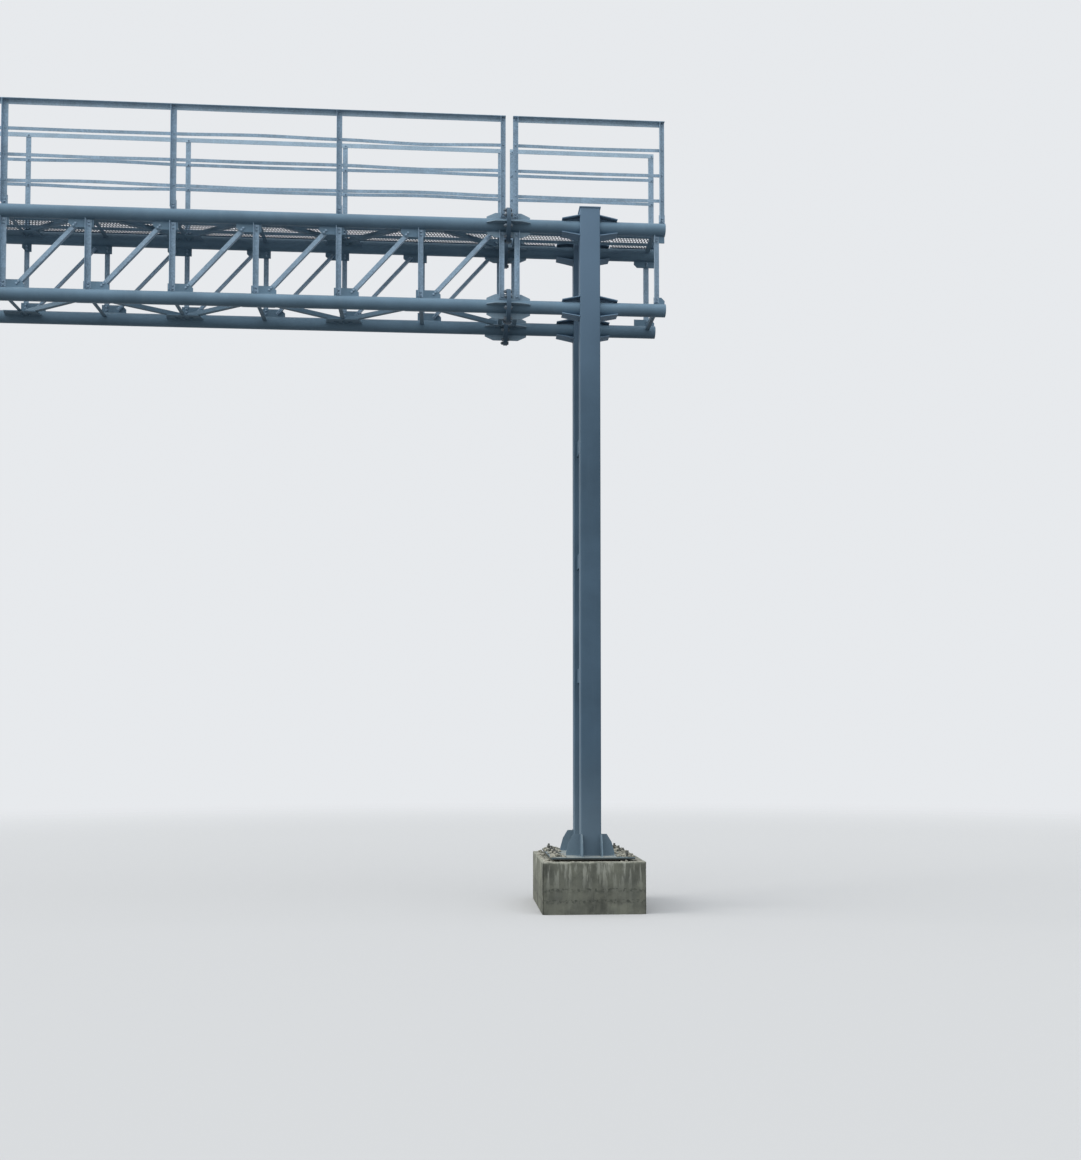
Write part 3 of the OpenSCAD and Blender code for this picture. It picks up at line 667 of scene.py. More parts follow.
# Point (i, j): perimeter place i at height row j, pushed inwards by the skin noise, the form joint and the
# chips, which fade as exp(-distance) from the top edge and the corners
def blockSkin(look):
    steps = [int(look[size] / look["aroundStep"]) for size in ("sizeX", "sizeY")]
    runX, runY = [np.linspace(-1, 1, count, endpoint=False) for count in steps]
    around = np.concatenate([np.column_stack(np.broadcast_arrays(x, y)) for x, y in (
        (runX, -1.0), (1.0, runY), (-runX, 1.0), (-1.0, -runY))])
    half = np.array([look["sizeX"], look["sizeY"]]) / 2
    x, y = (around * half).T
    toCorner = (half * (1 - np.abs(around))).max(axis=1)
    levels = look["height"] * np.linspace(0, 1, look["rows"])[:, None] ** look["rowPower"]
    shrink = np.linspace(1, 0, look["rings"] + 1)[1:-1, None] ** look["ringPower"]
    side = gatherPoints(x, y, levels)
    top = gatherPoints(x * shrink, y * shrink, look["height"])
    coarse = look["coarse"] * softNoise(side, look["chipSize"], seed=5)
    fineNoise = softNoise(side, look["fineSize"], seed=6)
    nearTop = np.exp(-((look["height"] - levels) / look["chipReach"]) ** look["chipPower"])
    nearCorner = np.exp(-(toCorner / look["chipReach"]) ** look["chipPower"])
    chips = np.clip(look["chipMean"] + coarse + look["fine"] * fineNoise, *look["chipLimits"])
    skinNoise = look["skinNoise"] * softNoise(side, look["skinSize"], seed=7)
    skin = np.clip(look["skinMean"] + skinNoise, 0, look["skinLimit"]) * look["skin"]
    inJoint = np.exp(-((levels - look["joint"]) / look["jointReach"]) ** 2)
    joint = look["jointDepth"] * np.clip(fineNoise, 0, 1) * inJoint
    inward = skin + joint + look["chip"] * chips * np.maximum(nearTop, look["upright"] * nearCorner)
    inward = inward + look["corner"] * np.exp(-(toCorner / look["cornerReach"]) ** look["cornerPower"])
    side[..., :2] -= np.where(np.abs(around) > look["edge"], np.sign(around), 0) * inward[..., None]
    side[-1, :, 2] -= look["rimDrop"] * look["chip"] * chips[-1]
    lift = sum(softNoise(top, size, seed=8 + k) * high for k, (size, high) in enumerate(look["topLumps"]))
    top[..., 2] += np.clip(lift - look["topSink"], -look["topDeepest"], 0)
    return closeRings(np.concatenate([side, top]), [0, 0, 0], [0, 0, look["height"] - look["topSink"]])


blockPiece = makePiece("foundation_skin", blockSkin(block), castConcrete, angle=60)
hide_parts("foundation_block")
print("foundation done")

# Bolts: a hexagon head, two washers, the nut and the thread end, in sizes by shank
boltSizes = {
    "splice": {"shank": 0.024, "flats": 0.036, "head": 0.015, "nut": 0.0205,
               "washer": 0.044, "washerThick": 0.004, "tail": 0.011},
    "frame": {"shank": 0.016, "flats": 0.024, "head": 0.010, "nut": 0.0145,
              "washer": 0.030, "washerThick": 0.003, "tail": 0.007},
    "rail": {"shank": 0.010, "flats": 0.016, "head": 0.0065, "nut": 0.0085,
             "washer": 0.020, "washerThick": 0.002, "tail": 0.005},
}
# What the sizes have in common: shares of the radius at the two ends, bevels as shares of the flats, turns
boltForm = {
    "shares": (0.92, 0.84), "bevels": np.array([0.036, 0.06]), "headTurn": 0.3, "nutTurn": 0.7,
    "tip": 0.8, "tipBevel": 0.75, "washerSides": 12, "threadSides": 8,
}


# Hexagon as rows of (radius, height): radius = flats / root 3, times a share at each end, over a bevel
def hexRows(flats, low, high, shares, bevels):
    r = flats / math.sqrt(3)
    return [(r * shares[0], low), (r, low + bevels[0]), (r, high - bevels[1]), (r * shares[1], high)]


# Bolt along +Z whose grip runs from 0 to its length: head above, nut and thread end below
def boltShape(size, grip):
    wide, w, s, flats = size["washer"] / 2, size["washerThick"], size["shank"] / 2, size["flats"]
    ends = boltForm["shares"], boltForm["bevels"] * flats
    washerTop, nutFoot = grip + w, -w - size["nut"]
    tip = [(s * boltForm["tip"], nutFoot - size["tail"]), (s, nutFoot - size["tail"] * boltForm["tipBevel"])]
    return gatherShapes([
        turnedShape([(wide, grip), (wide, washerTop)], boltForm["washerSides"]),
        turnedShape(hexRows(flats, washerTop, washerTop + size["head"], *ends), 6, boltForm["headTurn"]),
        turnedShape([(wide, -w), (wide, 0)], boltForm["washerSides"]),
        turnedShape(hexRows(flats, nutFoot, -w, *ends), 6, boltForm["nutTurn"]),
        turnedShape(tip + [(s, -w)], boltForm["threadSides"]),
    ])


# Middles of the four chords at X
def chordCentres(x):
    return np.insert(chordAxes, 0, x, axis=1)


# Splice bolts: on a circle round each chord, at half steps of the angle, from flange to flange
spliceBolts = {"circle": 0.18, "count": 8}
angles = (np.arange(spliceBolts["count"]) + 0.5) * 2 * np.pi / spliceBolts["count"]
outward = roundX(angles)
centres = chordCentres(gantry["spliceX"] - gantry["flangeThick"])
boltPlaces = (centres[:, None, :] + spliceBolts["circle"] * outward).reshape(-1, 3)
single = boltShape(boltSizes["splice"], 2 * gantry["flangeThick"])
shape = placeCopies(single, boltPlaces, alongX, np.tile(outward, (4, 1)))
splicePiece = makePiece("splice_bolts", shape, boltZinc, angle=30)

# Bolts of the two truss faces and of the top and bottom planes; faces are Y from the middle, and rises are
# from a chord
trussBolts = {
    "uprightFaces": (0.394, 0.411), "diagonalFaces": (0.389, 0.406), "gauge": 0.0035,
    "plateRises": np.array([0.033, 0.073]), "ribRises": np.array([0.041]),
    "endRises": np.array([0.030, 0.060]),
    "diagonalShift": 0.04, "diagonalEnd": 0.034, "diagonalBolts": np.array([0.024, 0.058]),
    "crossBolts": np.array([0.288, 0.246]), "crossRib": 0.292, "crossGauge": 0.003,
    "braceGap": 0.062, "braceBolts": np.array([0.024, 0.058]), "angleThick": 0.005,
}


# Bolts at (X, Z) spots on both truss faces, from the inner Y to the outer, heads outwards
def sideBolts(spots, inner, outer, size):
    single = boltShape(boltSizes[size], outer - inner)
    return gatherShapes([placeCopies(single, np.insert(spots, 1, side * inner, axis=1), alongY * side, allUp)
                         for side in bothWays])


# Spots at each X and at each rise above the lower chord's crown and below the upper chord's underside
def mirrorLevels(x, rises):
    return everyPair(x, np.concatenate([axesZ[0] + chordRadius + rises, axesZ[1] - chordRadius - rises]))


# Uprights hold at both ends; diagonals at two steps from each end along their slope:
# X = start + step * cos(slope)
def webBolts(look):
    headX = gantry["headUprightX"]
    uprightSpots = np.concatenate([
        mirrorLevels(panelX[:-1] + look["gauge"], look["plateRises"]),
        mirrorLevels(panelX[-1:] + look["gauge"], look["ribRises"]),
        mirrorLevels(headX[:1] - look["gauge"], look["ribRises"]),
        mirrorLevels(headX[1:] + look["gauge"], look["endRises"]),
    ])
    rise, run = axesZ[1] - axesZ[0], gantry["bay"] - 2 * look["diagonalShift"]
    slope = math.atan2(rise, run)
    reach = (chordRadius + look["diagonalEnd"]) / math.sin(slope) + look["diagonalBolts"]
    along = np.concatenate([reach, math.hypot(rise, run) - reach])
    startX = panelX[:-1] + look["diagonalShift"]
    diagonalX = startX[:, None] + along * math.cos(slope)
    diagonalZ = np.tile(axesZ[0] + along * math.sin(slope), len(startX))
    diagonalSpots = np.column_stack([diagonalX.ravel(), diagonalZ])
    return gatherShapes([sideBolts(uprightSpots, *look["uprightFaces"], "frame"),
                         sideBolts(diagonalSpots, *look["diagonalFaces"], "frame")])


webPiece = makePiece("web_bolts", webBolts(trussBolts), railPaint, angle=30)


# Upright bolts through the flat plates, on which the cross angles and plan braces lie:
# spot = brace end + step * way; the plates lie on the rear and the front chord in turn
def planBolts(look):
    side = takeTurns(len(panelX))
    cross = everyPair(panelX[:-1] + look["crossGauge"], look["crossBolts"])
    cross[:, 1] *= np.repeat(side[:-1], 2)
    ribX = np.array([panelX[-1], gantry["headUprightX"][0]]) + look["crossGauge"]
    ends = np.column_stack([panelX, side * (axesY[1] - chordRadius)])
    way = ends[1:] - ends[:-1]
    way = way / np.linalg.norm(way, axis=-1, keepdims=True)
    near, far = look["braceGap"] + look["braceBolts"]
    spots = np.concatenate([
        cross, everyPair(ribX, bothWays * look["crossRib"]), ends[:-1] + way * near, ends[:-1] + way * far,
        ends[1:] - way * near, (ends[1:] - way * far)[:-1]])
    places = np.concatenate([np.insert(spots, 2, z - plateHalf, axis=1) for z in axesZ])
    single = boltShape(boltSizes["frame"], 2 * plateHalf + look["angleThick"])
    return placeCopies(single, places, allUp, alongX)


planPiece = makePiece("plan_bolts", planBolts(trussBolts), trussPaint, angle=30)

# Railing bolts: two at each post foot, one at each rail and one at the handrail
railingBolts = {
    "posts": np.array([-7.09, -5.09, -3.09, -1.076, -0.922, 0.913]),
    "heel": np.array([1, 1, 1, 1, -1, 1]), "gauge": 0.0035,
    "footRises": np.array([0.030, 0.062]), "footFaces": (0.394, 0.411),
    "handDrop": 0.034, "handFaces": (0.401, 0.411),
    "railCount": 3, "railHalf": 0.020, "railFaces": (0.402, 0.411),
}


# Middles of a node's flat rails, evenly spread in Z
def railLevels(node):
    low, high = reachOf(node, 2)
    half = railingBolts["railHalf"]
    return np.linspace(low + half, high - half, railingBolts["railCount"])


# Every post at X + gauge towards its heel, with a bolt at each level
def railingShape(look):
    x = look["posts"] + look["gauge"] * look["heel"]
    handZ = [reachOf("front_handrails", 2)[1] - look["handDrop"]]
    return gatherShapes([
        sideBolts(everyPair(x, crownZ + look["footRises"]), *look["footFaces"], "frame"),
        sideBolts(everyPair(x, handZ), *look["handFaces"], "rail"),
        sideBolts(everyPair(x, railLevels("front_flat_rails")), *look["railFaces"], "rail"),
    ])


railPiece = makePiece("railing_bolts", railingShape(railingBolts), railPaint, angle=30)

# Flat rails that sway between the posts; drops in metres, a row for each rail from the lowest, with a number
# for each bay
flatRails = {
    "middle": 0.404, "wide": 0.040, "thick": 0.004, "step": 0.05, "joint": (-1.044, -0.954), "rock": 0.08,
    "bayOfCell": np.array([0, 1, 2, 2, 3]),  # the bay that each gap between two posts belongs to
    "frontDrops": np.array([
        [-0.016, 0.010, -0.014, 0.004], [0.006, 0.004, 0.016, 0.003], [0.003, -0.014, 0.022, 0.008]]),
    "rearDrops": np.array([
        [0.010, -0.012, 0.008, 0.006], [0.016, 0.004, -0.016, -0.004], [-0.016, 0.005, -0.008, 0.005]]),
}


# Rail k: a flat section carried along X; it drops by its own depth * sin^2 between posts and rocks about
# its line by a seeded share
def swayingRails(side, node, drops, look, seed):
    pick = np.random.default_rng(seed)
    posts, levels = railingBolts["posts"], railLevels(node)[:, None]
    low, high = reachOf(node, 0)
    shapes = []
    for x0, x1 in ((low, look["joint"][0]), (look["joint"][1], high)):
        x = np.linspace(x0, x1, int((x1 - x0) / look["step"]) + 1)
        x = np.unique(np.concatenate([x, posts[(posts > x0) & (posts < x1)]]))
        cell = np.clip(np.searchsorted(posts, x, side="right") - 1, 0, len(posts) - 2)
        share = np.clip((x - posts[cell]) / (posts[cell + 1] - posts[cell]), 0, 1)
        swing = np.sin(np.pi * share) ** 2
        bay = look["bayOfCell"][cell]
        rock = pick.uniform(-1, 1, drops.shape)[:, bay] * look["rock"] * swing
        origins = gatherPoints(x, side * look["middle"], levels - drops[:, bay] * swing)
        axisA = roundX(rock)
        axisB = gatherPoints(0.0, -np.sin(rock), np.cos(rock))
        shapes.append(carryProfile(origins, axisA, axisB, flatSection(look["thick"], look["wide"])))
    return gatherShapes(shapes)


for side, end, seed in ((-1.0, "front", 11), (1.0, "rear", 12)):
    node = end + "_flat_rails"
    shape = swayingRails(side, node, flatRails[end + "Drops"], flatRails, seed)
    rails = makePiece(node.replace("flat", "swaying"), shape, railPaint, angle=30)
    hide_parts(node)

# Anchor studs of the base plate, each with a plate washer, two nuts and its thread standing proud
anchors = {
    "x": np.array([-0.43, 0.43]), "y": np.array([-0.61, -0.2, 0.2, 0.61]), "turn": 0.25,
    "washer": 0.042, "washerThick": 0.007, "washerBevel": 0.001,
    "flats": 0.046, "nut": 0.024, "nutShares": (0.93, 0.9), "nutTurn": 0.2, "bevels": (0.003, 0.003),
    "lockNut": 0.014, "lockShares": (0.9, 0.88), "lockTurn": 0.9,
    "stud": 0.015, "studSides": 16, "pitch": 0.004, "root": 0.93,
    "tip": 0.072, "tipBevel": 0.006, "tipShare": 0.8,
}


# Washer, nut, lock nut and stud, each turned round Z; the thread's radius changes at every half pitch
def anchorShapes(look):
    stud, flats, bevels, z1 = look["stud"], look["flats"], look["bevels"], look["washerThick"]
    z2 = z1 + look["nut"]
    z3 = z2 + look["lockNut"]
    wide, cut = look["washer"], look["washerBevel"]
    turns = np.arange(z3, look["tip"] - look["tipBevel"], look["pitch"] / 2)
    thread = [(stud * (1.0 if k % 2 else look["root"]), z) for k, z in enumerate(turns)]
    single = gatherShapes([
        turnedShape([(wide, 0), (wide, z1 - cut), (wide - cut, z1)], 4, np.pi / 4),
        turnedShape(hexRows(flats, z1, z2, look["nutShares"], bevels), 6, look["nutTurn"]),
        turnedShape(hexRows(flats, z2, z3, look["lockShares"], bevels), 6, look["lockTurn"]),
        turnedShape([(stud, z1)] + thread + [(stud * look["tipShare"], look["tip"])], look["studSides"]),
    ])
    places = np.insert(everyPair(look["x"], look["y"]), 2, plateTop, axis=1)
    turn = chance.uniform(-look["turn"], look["turn"], len(places))
    return placeCopies(single, places, allUp, roundZ(turn))


anchorPiece = makePiece("anchor_nuts", anchorShapes(anchors), anchorSteel, angle=30)
print("bolts done")

# Weld beads: a convex fillet, times its leg, that dips between its ripples and is sunk a little into the
# metal
weld = {
    "profile": np.array([[-0.2, -0.2], [1.0, -0.2], [0.93, 0.25], [0.64, 0.64], [0.25, 0.93], [-0.2, 1.0]]),
    "ripple": 0.012, "dip": 0.14, "ringStations": 84, "sink": 0.0003,
}


# Fillet at every station: profile * leg * (1 - dip at odd stations)
def rippledFillet(stations, leg):
    return (leg * (1 - weld["dip"] * (np.arange(stations) % 2)))[:, None, None] * weld["profile"]


# Beads along straight corners: point = start + t * (end - start) + a * sideA + b * sideB
def straightBeads(starts, ends, sideA, sideB, leg):
    ways = [np.atleast_2d(v) for v in (starts, ends, sideA, sideB)]
    starts, ends, sideA, sideB = np.broadcast_arrays(*ways)
    facing = (np.cross(sideA, sideB) * (ends - starts)).sum(axis=-1, keepdims=True) < 0
    starts, ends = np.where(facing, ends, starts), np.where(facing, starts, ends)
    length = np.linalg.norm(ends - starts, axis=-1).max()
    stations = max(3, int(round(2 * length / weld["ripple"])) + 1)
    origins = starts[:, None] + np.linspace(0, 1, stations)[:, None] * (ends - starts)[:, None]
    return carryProfile(origins, sideA[:, None], sideB[:, None], rippledFillet(stations, leg))


# Beads round the chords where they meet a face at X: the same fillet carried round the circle
def ringBeads(x, facing, leg, radius=chordRadius):
    stations = weld["ringStations"]
    angle = -facing * 2 * np.pi * np.arange(stations) / stations
    radial = roundX(angle)
    origins = chordCentres(x)[:, None] + radius * radial
    return carryProfile(origins, radial, alongX * facing, rippledFillet(stations, leg), roundPath=True)


# Ribs at each quarter of a chord: along their foot from a flange at X outwards, and up the flange
def ribBeads(x, facing, look):
    quarter = np.arange(4) * np.pi / 2
    radial, tangent = roundX(quarter), gatherPoints(0.0, -np.sin(quarter), np.cos(quarter))
    root, leg = radial * (chordRadius - weld["sink"]), look["ribLeg"]
    shapes = []
    for hand in bothWays:
        corner = (chordCentres(x)[:, None] + root + hand * plateHalf * tangent).reshape(-1, 3)
        a, b = np.tile(hand * tangent, (4, 1)), np.tile(radial, (4, 1))
        shapes.append(straightBeads(corner, corner + alongX * facing * look["ribLong"], a, b, leg))
        shapes.append(straightBeads(corner + b * leg, corner + b * look["ribHigh"], a, alongX * facing, leg))
    return gatherShapes(shapes)


# Both faces of the upright gussets along the lower and the upper chords, then of the flat gussets in both
# planes
def gussetBeads(look):
    short, long, planHalf = look["short"], look["long"], look["planHalf"]
    lowX = panelX[:-1, None] + [-short, long]
    topX = np.concatenate([panelX[1:-1, None] + [-long, short], panelX[:1, None] + [-short, short]])
    root = chordRadius - weld["sink"]
    shapes = []
    for ends, z, up in ((lowX, axesZ[0] + root, allUp), (topX, axesZ[1] - root, -allUp)):
        for y, hand in everyPair(axesY, bothWays):
            start, stop = [gatherPoints(x, y + hand * plateHalf, z) for x in ends.T]
            shapes.append(straightBeads(start, stop, alongY * hand, up, look["gussetLeg"]))
    for side, x in ((1.0, panelX[:-1:2]), (-1.0, panelX[1:-1:2])):
        for z, hand in everyPair(axesZ, bothWays):
            start = gatherPoints(x - planHalf, side * (axesY[1] - root), z + hand * plateHalf)
            stop = start + alongX * 2 * planHalf
            shapes.append(straightBeads(start, stop, alongY * -side, allUp * hand, look["planLeg"]))
    return gatherShapes(shapes)


# Welds of the truss: rings and ribs at each flange, the head's end caps and the gussets
trussWelds = {
    "flangeLeg": 0.008, "capLeg": 0.0045, "capRadius": 0.0745,
    "ribLeg": 0.006, "ribLong": 0.245, "ribHigh": 0.073,
    "gussetLeg": 0.006, "short": 0.058, "long": 0.245, "planLeg": 0.005, "planHalf": 0.23,
}
thick, spliceX = gantry["flangeThick"], gantry["spliceX"]
trussBeads = [ringBeads(reachOf("head_chord_caps", 0)[0], 1, trussWelds["capLeg"], trussWelds["capRadius"])]
for x, facing in ((spliceX + thick, 1), (spliceX - thick, -1), (gantry["farX"] + thick, 1)):
    trussBeads += [ringBeads(x, facing, trussWelds["flangeLeg"]), ribBeads(x, facing, trussWelds)]
trussBeads.append(gussetBeads(trussWelds))
trussBeadPiece = makePiece("truss_welds", gatherShapes(trussBeads), trussPaint, angle=60)

# Column welds: foot and cap of each tube, base gussets, battens and haunches
columnWelds = {
    "halfX": 0.125, "halfY": 0.1, "footLeg": 0.009, "capLeg": 0.006, "plateLeg": 0.007,
    "gussetHigh": 0.254, "gussetOut": 0.17,
    "battenZ": 2.895 + 1.467 * np.arange(3), "battenHalf": 0.09, "battenX": 0.077, "battenLeg": 0.006,
    "haunchRise": 0.050, "haunchRun": 0.19, "haunchHalf": 0.09, "haunchLeg": 0.005,
}


# Each bead is a corner that starts at (x, y, z) and goes one way, on both sides of a plate
def columnBeads(look):
    hx, hy, leg = look["halfX"], look["halfY"], look["plateLeg"]
    high, out = allUp * look["gussetHigh"], look["gussetOut"]
    shapes = []

    def bead(x, y, z, way, sideA, sideB, size=leg):
        start = np.array([x, y, z])
        shapes.append(straightBeads(start, start + way, sideA, sideB, size))

    corners = everyPair(bothWays, bothWays)
    for y, sign in everyPair(axesY, bothWays):
        for z, up, size in ((plateTop, allUp, look["footLeg"]), (columnTop, -allUp, look["capLeg"])):
            bead(-hx, y + sign * hy, z, alongX * 2 * hx, alongY * sign, up, size)
            bead(sign * hx, y - hy, z, alongY * 2 * hy, alongX * sign, up, size)
        for hand in bothWays:
            bead(sign * hx, y + hand * plateHalf, plateTop, high, alongX * sign, alongY * hand)
            bead(sign * hx, y + hand * plateHalf, plateTop, alongX * sign * out, alongY * hand, allUp)
    for side, end in corners:
        x, y = end * (hx - 2 * plateHalf), side * (axesY[1] + hy)
        bead(x, y, plateTop, high, alongX * -end, alongY * side)
        bead(x, y, plateTop, alongY * side * out, alongX * -end, allUp)
        for z, hand in everyPair(look["battenZ"] - look["battenHalf"], bothWays):
            bead(end * look["battenX"] + hand * plateHalf, side * (axesY[1] - hy), z,
                 allUp * 2 * look["battenHalf"], alongX * hand, alongY * -side, look["battenLeg"])
    for y, z in chordAxes:
        for up, end in corners:
            bead(end * hx, y - look["haunchHalf"], z + up * (chordRadius + look["haunchRise"]),
                 alongY * 2 * look["haunchHalf"], alongX * end, allUp * up)
            for hand in bothWays:
                bead(end * hx, y + hand * plateHalf, z + up * chordRadius,
                     alongX * end * look["haunchRun"], alongY * hand, allUp * up, look["haunchLeg"])
    return gatherShapes(shapes)


columnBeadPiece = makePiece("column_welds", columnBeads(columnWelds), columnPaint, angle=60)
print("welds done")

# Mortar spilt round the base plate: a lumpy skin on the block's rim
spill = {
    "outerX": 0.610, "outerY": 0.860, "innerX": 0.545, "innerY": 0.795, "step": 0.011,
    "under": 0.606, "top": 0.6165, "sink": 0.004, "body": 0.002,
    "lumps": 0.006, "lumpSize": 0.075, "lumpMore": 0.25, "grit": 0.003, "gritSize": 0.022,
    "crest": 2.0, "waves": 40, "edge": 0.028, "rimDrop": 0.003, "rimRun": 0.012,
}


# Height field over the block's top: level + lumps where soft noise is above zero + grit, falling away at the
# block's edge and towards the plate
def spilledMortar(look):
    x, y = [np.linspace(-outer, outer, int(2 * outer / look["step"]))
            for outer in (look["outerX"], look["outerY"])]
    gridX, gridY = np.meshgrid(x, y, indexing="ij")
    lumps, grit = [softNoise(gatherPoints(gridX, gridY, 0.0), look[size], seed, look["waves"])
                   for size, seed in (("lumpSize", 31), ("gritSize", 32))]
    toEdge = np.minimum(look["outerX"] - np.abs(gridX), look["outerY"] - np.abs(gridY))
    inside = np.maximum(np.abs(gridX) - look["innerX"], np.abs(gridY) - look["innerY"])
    keep = np.clip(toEdge / look["edge"], 0, 1) * np.clip(inside / look["edge"] + 1, 0, 1)
    height = (look["lumps"] * np.clip(lumps + look["lumpMore"], 0, look["crest"])
              + look["grit"] * np.clip(grit, 0, look["crest"]))
    rimDrop = look["rimDrop"] * (1 - np.clip(toEdge / look["rimRun"], 0, 1))
    z = look["top"] - look["sink"] + (height + look["body"]) * keep - rimDrop
    rows, cols = z.shape
    under = gatherPoints(gridX, gridY, look["under"])
    points = np.stack([gatherPoints(gridX, gridY, z), under]).reshape(-1, 3)
    cells = gridCells(rows, cols)
    index = np.arange(rows * cols).reshape(rows, cols)
    rim = np.concatenate([index[0, :], index[1:, -1], index[-1, -2::-1], index[-2:0:-1, 0]])
    ahead = np.roll(rim, -1)
    wall = np.stack([rim, ahead, ahead + rows * cols, rim + rows * cols], axis=-1)
    return points, np.concatenate([cells[:, ::-1], cells + rows * cols, wall]), np.zeros((0, 3), int)


spillPiece = makePiece("mortar_spill", spilledMortar(spill), mortar, angle=50)

# Mortar crumbs, heaped round the anchors and scattered along the plate's sides
crumbs = {
    "kinds": 6, "perKind": 70, "rings": 4, "sides": 7, "rough": 0.3, "roughSize": 2.2, "flat": 0.6,
    "low": 0.006, "high": 0.034, "power": 2.2, "lift": 0.25, "plateX": 0.5, "plateY": 0.745,
    "heapShare": 0.62, "heapSpread": 0.055, "heapNarrow": 0.8, "heapHigh": 0.022, "heapReach": 0.06,
    "sideX": (0.3, 0.58), "sideY": 0.8, "sideDraw": (-1.25, 1), "limitX": 0.585, "limitY": 0.83,
}


# Crumb: a small ball whose radius is 1 plus soft noise of its direction, flattened in Z
def crumbShape(look, seed):
    polar = np.pi * (np.arange(look["rings"]) + 0.5) / look["rings"]
    points, quads, tris = turnedShape(np.stack([np.sin(polar), -np.cos(polar)], axis=-1), look["sides"])
    reach = 1 + look["rough"] * softNoise(points, look["roughSize"], seed)[:, None]
    return points * reach * [1, 1, look["flat"]], quads, tris


# A crumb is on a heap, normally spread about an anchor, or along a side, more of them to the left; its size
# goes by a power of a draw, and a heap's height by exp(-(distance / reach)^2)
def scatterCrumbs(look):
    shapes, number = [], look["perKind"]
    for kind in range(look["kinds"]):
        heaped = chance.uniform(0, 1, number) < look["heapShare"]
        anchorX = chance.choice(anchors["x"], number)
        anchorY = chance.choice(anchors["y"], number)
        heapX = anchorX + chance.normal(0, look["heapSpread"], number)
        heapY = anchorY + chance.normal(0, look["heapSpread"] * look["heapNarrow"], number)
        side = np.sign(chance.uniform(*look["sideDraw"], number))
        x = np.where(heaped, heapX, side * chance.uniform(*look["sideX"], number))
        y = np.where(heaped, heapY, chance.uniform(-look["sideY"], look["sideY"], number))
        x, y = np.clip(x, -look["limitX"], look["limitX"]), np.clip(y, -look["limitY"], look["limitY"])
        toAnchor = np.hypot(x - anchorX, y - anchorY)
        onPlate = (np.abs(x) < look["plateX"]) & (np.abs(y) < look["plateY"])
        size = look["low"] + (look["high"] - look["low"]) * chance.uniform(0, 1, number) ** look["power"]
        lift = np.where(heaped, look["heapHigh"] * np.exp(-(toAnchor / look["heapReach"]) ** 2), 0)
        z = np.where(onPlate, plateTop + lift, spill["top"]) + look["lift"] * size
        ways = roundZ(chance.uniform(0, 2 * np.pi, number))
        shapes.append(placeCopies(crumbShape(look, 20 + kind), gatherPoints(x, y, z), allUp, ways, size))
    return gatherShapes(shapes)


crumbPiece = makePiece("mortar_crumbs", scatterCrumbs(crumbs), mortar, angle=80)
print("mortar done")


# 1 where the camera, a reflection or a ray through glass meets the surface, 0 for the light it gives back
def seenMask(tree):
    ray = addNode(tree, "ShaderNodeLightPath").outputs
    seen = doMath(tree, "MAXIMUM", ray["Is Camera Ray"], ray["Is Glossy Ray"])
    return doMath(tree, "MAXIMUM", seen, ray["Is Transmission Ray"])


# Factor 0 gives the first shader, 1 the second
def mixShaders(tree, factor, first, second):
    return addNode(tree, "ShaderNodeMixShader", factor, first, second).outputs[0]


# Node tree of a material or a world without its first nodes
def emptyTree(owner):
    owner.use_nodes = True
    owner.node_tree.nodes.clear()
    return owner.node_tree


# Plain floor that fades out before its edge; it looks pale but gives little light back
floorLook = {"radius": 60.0, "sides": 64, "pale": 0.53, "dull": 0.12, "rampFrom": 16.0, "rampTo": 34.0}
turns = 2 * np.pi * np.arange(floorLook["sides"]) / floorLook["sides"]
rim = floorLook["radius"] * roundZ(turns)
floorMesh = bpy.data.meshes.new("studio_floor")
floorMesh.from_pydata(rim.tolist(), [], [list(range(floorLook["sides"]))])
floorFinish = bpy.data.materials.new("floorFinish")
tree = emptyTree(floorFinish)
place = addNode(tree, "ShaderNodeTexCoord").outputs["Object"]
away = addNode(tree, "ShaderNodeVectorMath", place, operation="LENGTH").outputs["Value"]
ramp = mapRange(tree, away, floorLook["rampFrom"], floorLook["rampTo"], smooth=True)
dull, pale = [addNode(tree, "ShaderNodeBsdfDiffuse", Color=(floorLook[tone],) * 3 + (1,)).outputs[0]
              for tone in ("dull", "pale")]
clear = addNode(tree, "ShaderNodeBsdfTransparent").outputs[0]
surface = mixShaders(tree, ramp, mixShaders(tree, seenMask(tree), dull, pale), clear)
addNode(tree, "ShaderNodeOutputMaterial", Surface=surface)
floorMesh.materials.append(floorFinish)
floor = addObject("studio_floor", floorMesh)

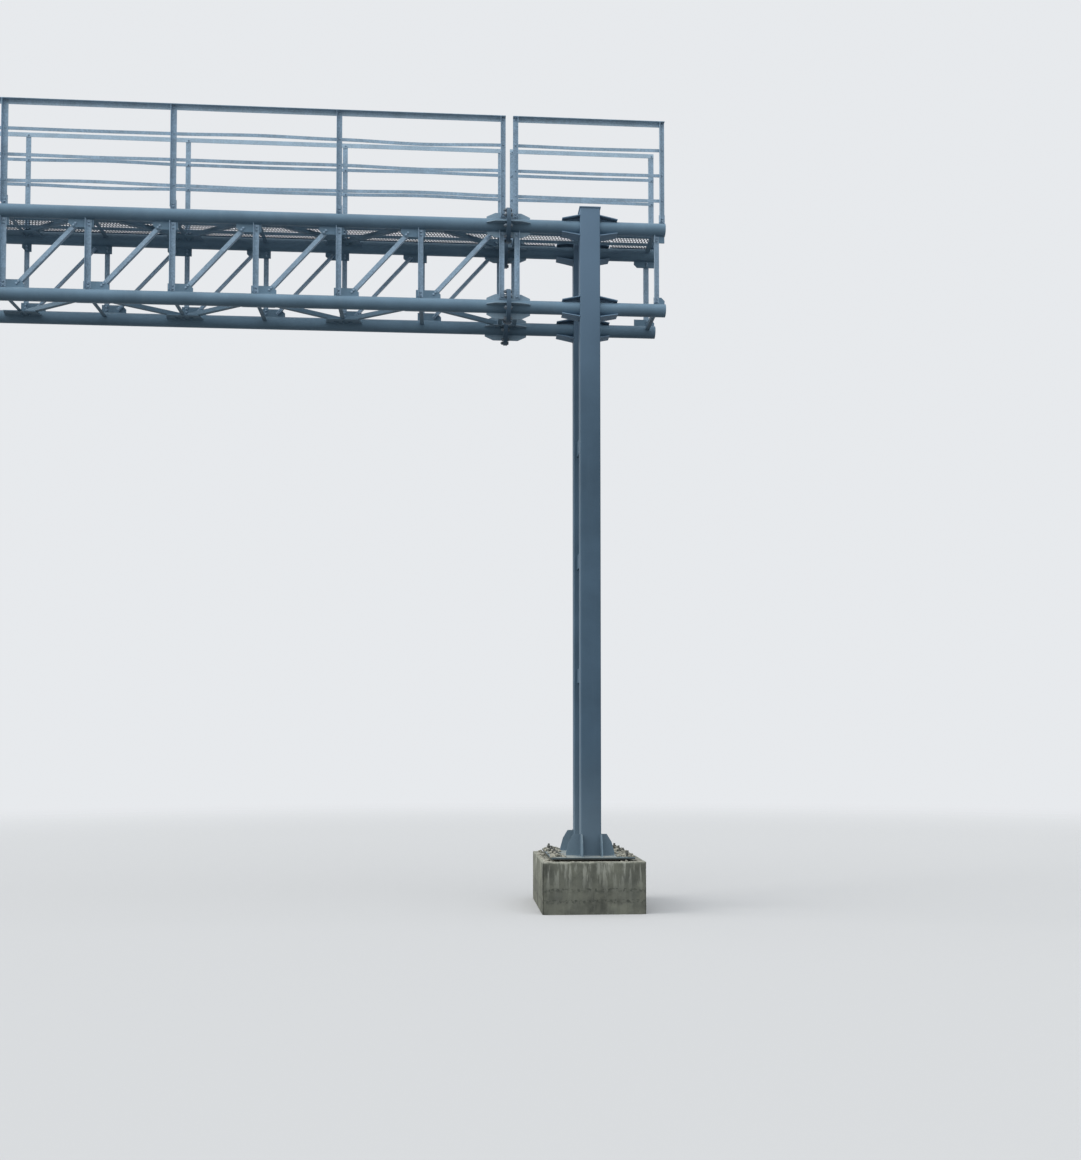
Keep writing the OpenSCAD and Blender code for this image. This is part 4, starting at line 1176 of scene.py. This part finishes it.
# Soft light: an even glow for the shading and a pale background for the eye
glowLook = {
    "light": (0.9, 0.95, 1.0, 1.0), "strength": 0.60, "seen": (0.80, 0.82, 0.845, 1.0), "seenStrength": 1.0,
}
world = bpy.data.worlds.new("studioGlow")
bpy.context.scene.world = world
tree = emptyTree(world)
lit, shown = [addNode(tree, "ShaderNodeBackground", glowLook[colour], glowLook[strength]).outputs[0]
              for colour, strength in (("light", "strength"), ("seen", "seenStrength"))]
addNode(tree, "ShaderNodeOutputWorld", Surface=mixShaders(tree, seenMask(tree), lit, shown))

# A broad key from the left and one from above, each turned from its place to the middle
lights = {
    "key": {"from": (-0.88, -0.08, 0.47), "strength": 2.1, "spread": 50.0, "colour": (1.0, 0.985, 0.96)},
    "above": {"from": (-0.05, -0.50, 0.86), "strength": 1.8, "spread": 80.0, "colour": (0.95, 0.975, 1.0)},
}
for name, light in lights.items():
    data = bpy.data.lights.new(name, "SUN")
    data.energy = light["strength"]
    data.angle = math.radians(light["spread"])
    data.color = light["colour"]
    x, y, z = light["from"]
    tilt, turn = math.acos(z / math.hypot(x, y, z)), math.atan2(y, x) + math.pi / 2
    addObject(name, data).rotation_euler = (tilt, 0, turn)

# Camera as the photograph was taken, fitted on the truss, the column and the block
view = {
    "place": (-1.700, -15.539, 1.909), "yaw": 0.0719, "pitch": 0.0378, "focalPixels": 1240.0,
    "imageHigh": 1160, "centreRow": 706.37, "sensorHigh": 24.0, "farthest": 200.0,
}
cameraData = bpy.data.cameras.new("photoCamera")
cameraData.sensor_fit = "VERTICAL"
cameraData.sensor_height = view["sensorHigh"]
cameraData.lens = view["sensorHigh"] * view["focalPixels"] / view["imageHigh"]
cameraData.shift_y = (view["centreRow"] - view["imageHigh"] / 2) / view["imageHigh"]
cameraData.clip_end = view["farthest"]
camera = addObject("photoCamera", cameraData)
camera.location = view["place"]
camera.rotation_euler = (math.pi / 2 + view["pitch"], 0.0, -view["yaw"])
bpy.context.scene.camera = camera
bpy.context.scene.view_settings.view_transform = "Standard"
print("studio done")
